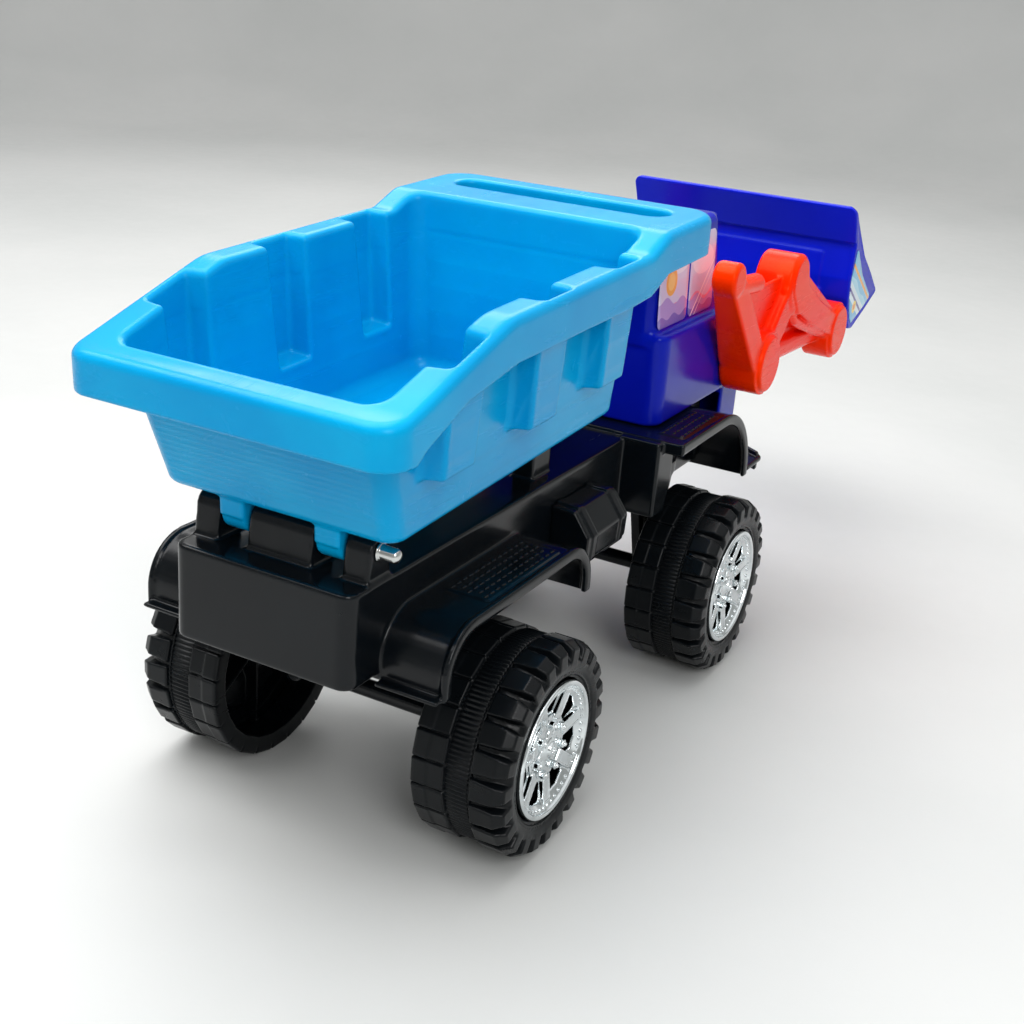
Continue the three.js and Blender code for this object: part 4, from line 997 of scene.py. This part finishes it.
def screws():
    for side, sign in (("left", 1), ("right", -1)):
        for i, (cx, cy) in enumerate(((312, 79), (362, 79))):
            # plain pan head under the deck, threaded shank above it
            head = outward(turned_to_z(turned([(0, 225.2), (2.1,
                225.2), (4.5, 225.0), (4.5, 223.6), (3.9, 222.5), (2.6, 222.0), (0, 221.9)], 32)))
            steps = np.linspace(225, 243, 91)
            shank = outward(turned_to_z(turned([(0, 225)] + [(1.62 + 0.34 * abs(((v - 225) / 1.2) % 1 * 2 - 1),
                float(v)) for v in steps] + [(0, 244)], 24)))
            part = shifted(merged(head, shank), cx, sign * cy, 0)
            piece(f"cab_screw_{side}_{i + 1}_looks", part, "frame", SCREW_STEEL, [f"cab_screw_{side}_{i + 1}"])


# ------------------------------------------------------------------ stickers
def sticker(outline, place_at, thick=0.5):
    """A thin plate over a convex outline, with its edge turned down; place_at(a, b, out) gives a point."""
    middle = np.mean(outline, axis=0)
    rings = [(1.0, 0.0), (1.0, thick * 0.7), (0.985, thick)]
    for share in (0.8, 0.6, 0.4, 0.2):
        rings.append((share, thick))
    points, faces, n = [], [], len(outline)
    for share, out in rings:
        for a, b in outline:
            points.append(place_at(middle[0] + (a - middle[0]) * share, middle[1] + (b - middle[1]) * share, out))
    points.append(place_at(middle[0], middle[1], thick))
    for k in range(len(rings) - 1):
        for i in range(n):
            j = (i + 1) % n
            faces.append((k * n + i, k * n + j, (k + 1) * n + j, (k + 1) * n + i))
    last = (len(rings) - 1) * n
    tip = [(last + i, last + (i + 1) % n, len(points) - 1) for i in range(n)]
    base = [tuple(reversed(range(n)))]
    return outward((np.array(points), [np.array(faces, np.int32), np.array(tip, np.int32), np.array(base, np.int32)]))


def stickers():
    face_y = lambda b: 77 - 4 * (b - 308) / 90
    face_x = lambda b: 446 - 15 * (b - 308) / 90
    for name, a0, a1 in (("window_label_rear", 297, 360), ("window_label_front", 364, 421)):
        outline = soft([(a0, 314, 6), (a1, 314, 6), (a1, 386, 8), (a0, 386, 8)], 8)
        part = sticker(outline, lambda a, b, out: (a, face_y(b) + 0.25 + out, b))
        pair(name + "_{}_looks", part, "frame", LABEL_SIDE, name + "_{}")
    outline = soft([(-58, 316, 8), (58, 316, 8), (55, 386, 8), (-55, 386, 8)], 8)
    part = sticker(outline, lambda a, b, out: (face_x(b) + 0.25 + out, a, b))
    piece("windscreen_label_looks", part, "frame", LABEL_FRONT, ["windscreen_label"])
    outline = soft([(711, 282, 3), (717, 269, 3), (724, 257, 3), (732, 250, 4), (775, 262, 3), (796, 270, 3), (750, 301,
        20), (716, 335, 3), (708, 302, 8)], 6)
    part = sticker(outline, lambda a, b, out: (a, 126.55 + out, b))
    pair("bucket_label_{}_looks", part, "bucket", LABEL_BUCKET, "bucket_label_{}")


dump_bin()
chassis()
side_tanks()
bumper()
cab()
loader_arms()
bucket()
wheels()
rods()
screws()
stickers()


# ------------------------------------------------------------------ floor, light and camera
def floor():
    n = Nodes("floor")
    n.set(
        Base_Color=n.mix(n.ramp(n.noise(2.0, 3.0), 0.3, 0.7), (0.56, 0.57, 0.56, 1), (0.61, 0.615, 0.605, 1)),
        Roughness=n.ramp(n.noise(30.0, 3.0), 0.3, 0.7, 0.55, 0.7),
        Normal=n.bump(n.noise(300.0, 3.0), 0.1, 0.0006),
    )
    flat, bend, height, around = 3.4, 1.5, 3.2, 96
    rows = [(flat * k / 6, 0.0) for k in range(1, 7)]
    rows += [(flat + bend * math.sin(a), bend - bend * math.cos(a)) for a in np.linspace(0, math.pi / 2,
        16)[1:]] + [(flat + bend, height)]
    me = bpy.data.meshes.new("floor")
    points = [(0.0, 0.0, 0.0)] + [(r * math.cos(2 * math.pi * i / around), r * math.sin(2 * math.pi * i / around),
        h) for r, h in rows for i in range(around)]
    faces = [(0, 1 + i, 1 + (i + 1) % around) for i in range(around)]
    for k in range(len(rows) - 1):
        for i in range(around):
            j = (i + 1) % around
            faces.append((1 + k * around + i, 1 + (k + 1) * around + i, 1 + (k + 1) * around + j, 1 + k * around + j))
    me.from_pydata(points, [], faces)
    me.shade_smooth()
    obj = bpy.data.objects.new("floor", me)
    bpy.context.scene.collection.objects.link(obj)
    me.materials.append(n.material)


def area(name, at, towards, size, power, colour=(1, 1, 1)):
    lamp = bpy.data.lights.new(name, "AREA")
    lamp.shape, lamp.size, lamp.size_y = "RECTANGLE", size[0], size[1]
    lamp.energy, lamp.color = power, colour
    obj = bpy.data.objects.new(name, lamp)
    obj.location = at
    obj.rotation_euler = (Vector(towards) - Vector(at)).to_track_quat("-Z", "Y").to_euler()
    bpy.context.scene.collection.objects.link(obj)


floor()
world = bpy.data.worlds.new("studio")
world.use_nodes = True
sky = world.node_tree
where = sky.nodes.new("ShaderNodeTexCoord").outputs["Generated"]
height = sky.nodes.new("ShaderNodeSeparateXYZ")
sky.links.new(where, height.inputs[0])
fade = sky.nodes.new("ShaderNodeValToRGB")
fade.color_ramp.elements[0].position, fade.color_ramp.elements[0].color = 0.12, (0.07, 0.075, 0.08, 1)
fade.color_ramp.elements[1].position, fade.color_ramp.elements[1].color = 0.85, (1.0, 1.0, 1.0, 1)
sky.links.new(height.outputs[2], fade.inputs[0])
sky.links.new(fade.outputs[0], sky.nodes["Background"].inputs[0])
sky.nodes["Background"].inputs[1].default_value = 0.95
bpy.context.scene.world = world
area("key", (-0.5, 0.6, 2.2), (0, 0, 0.2), (2.0, 2.0), 56)
area("fill", (-1.7, -1.5, 1.5), (0, 0, 0.2), (0.8, 1.2), 20)
area("rim", (1.8, 1.2, 2.1), (0.1, 0, 0.2), (1.8, 1.4), 22)

yaw, pitch, roll = math.radians(27.3), math.radians(-21.5), math.radians(4.5)
ahead = Vector((math.cos(pitch) * math.cos(yaw), math.cos(pitch) * math.sin(yaw), math.sin(pitch)))
level = ahead.cross(Vector((0, 0, 1))).normalized()
overhead = level.cross(ahead)
right = level * math.cos(roll) + overhead * math.sin(roll)
up = right.cross(ahead)
lens = bpy.data.cameras.new("camera")
lens.sensor_width, lens.lens = 36.0, 50.4
camera = bpy.data.objects.new("camera", lens)
camera.matrix_world = Matrix((right, up, -ahead)).transposed().to_4x4()
camera.location = (REAR_X - 0.8059, -0.5228, 0.6069)
bpy.context.scene.collection.objects.link(camera)
bpy.context.scene.camera = camera
bpy.context.scene.view_settings.view_transform = "Standard"
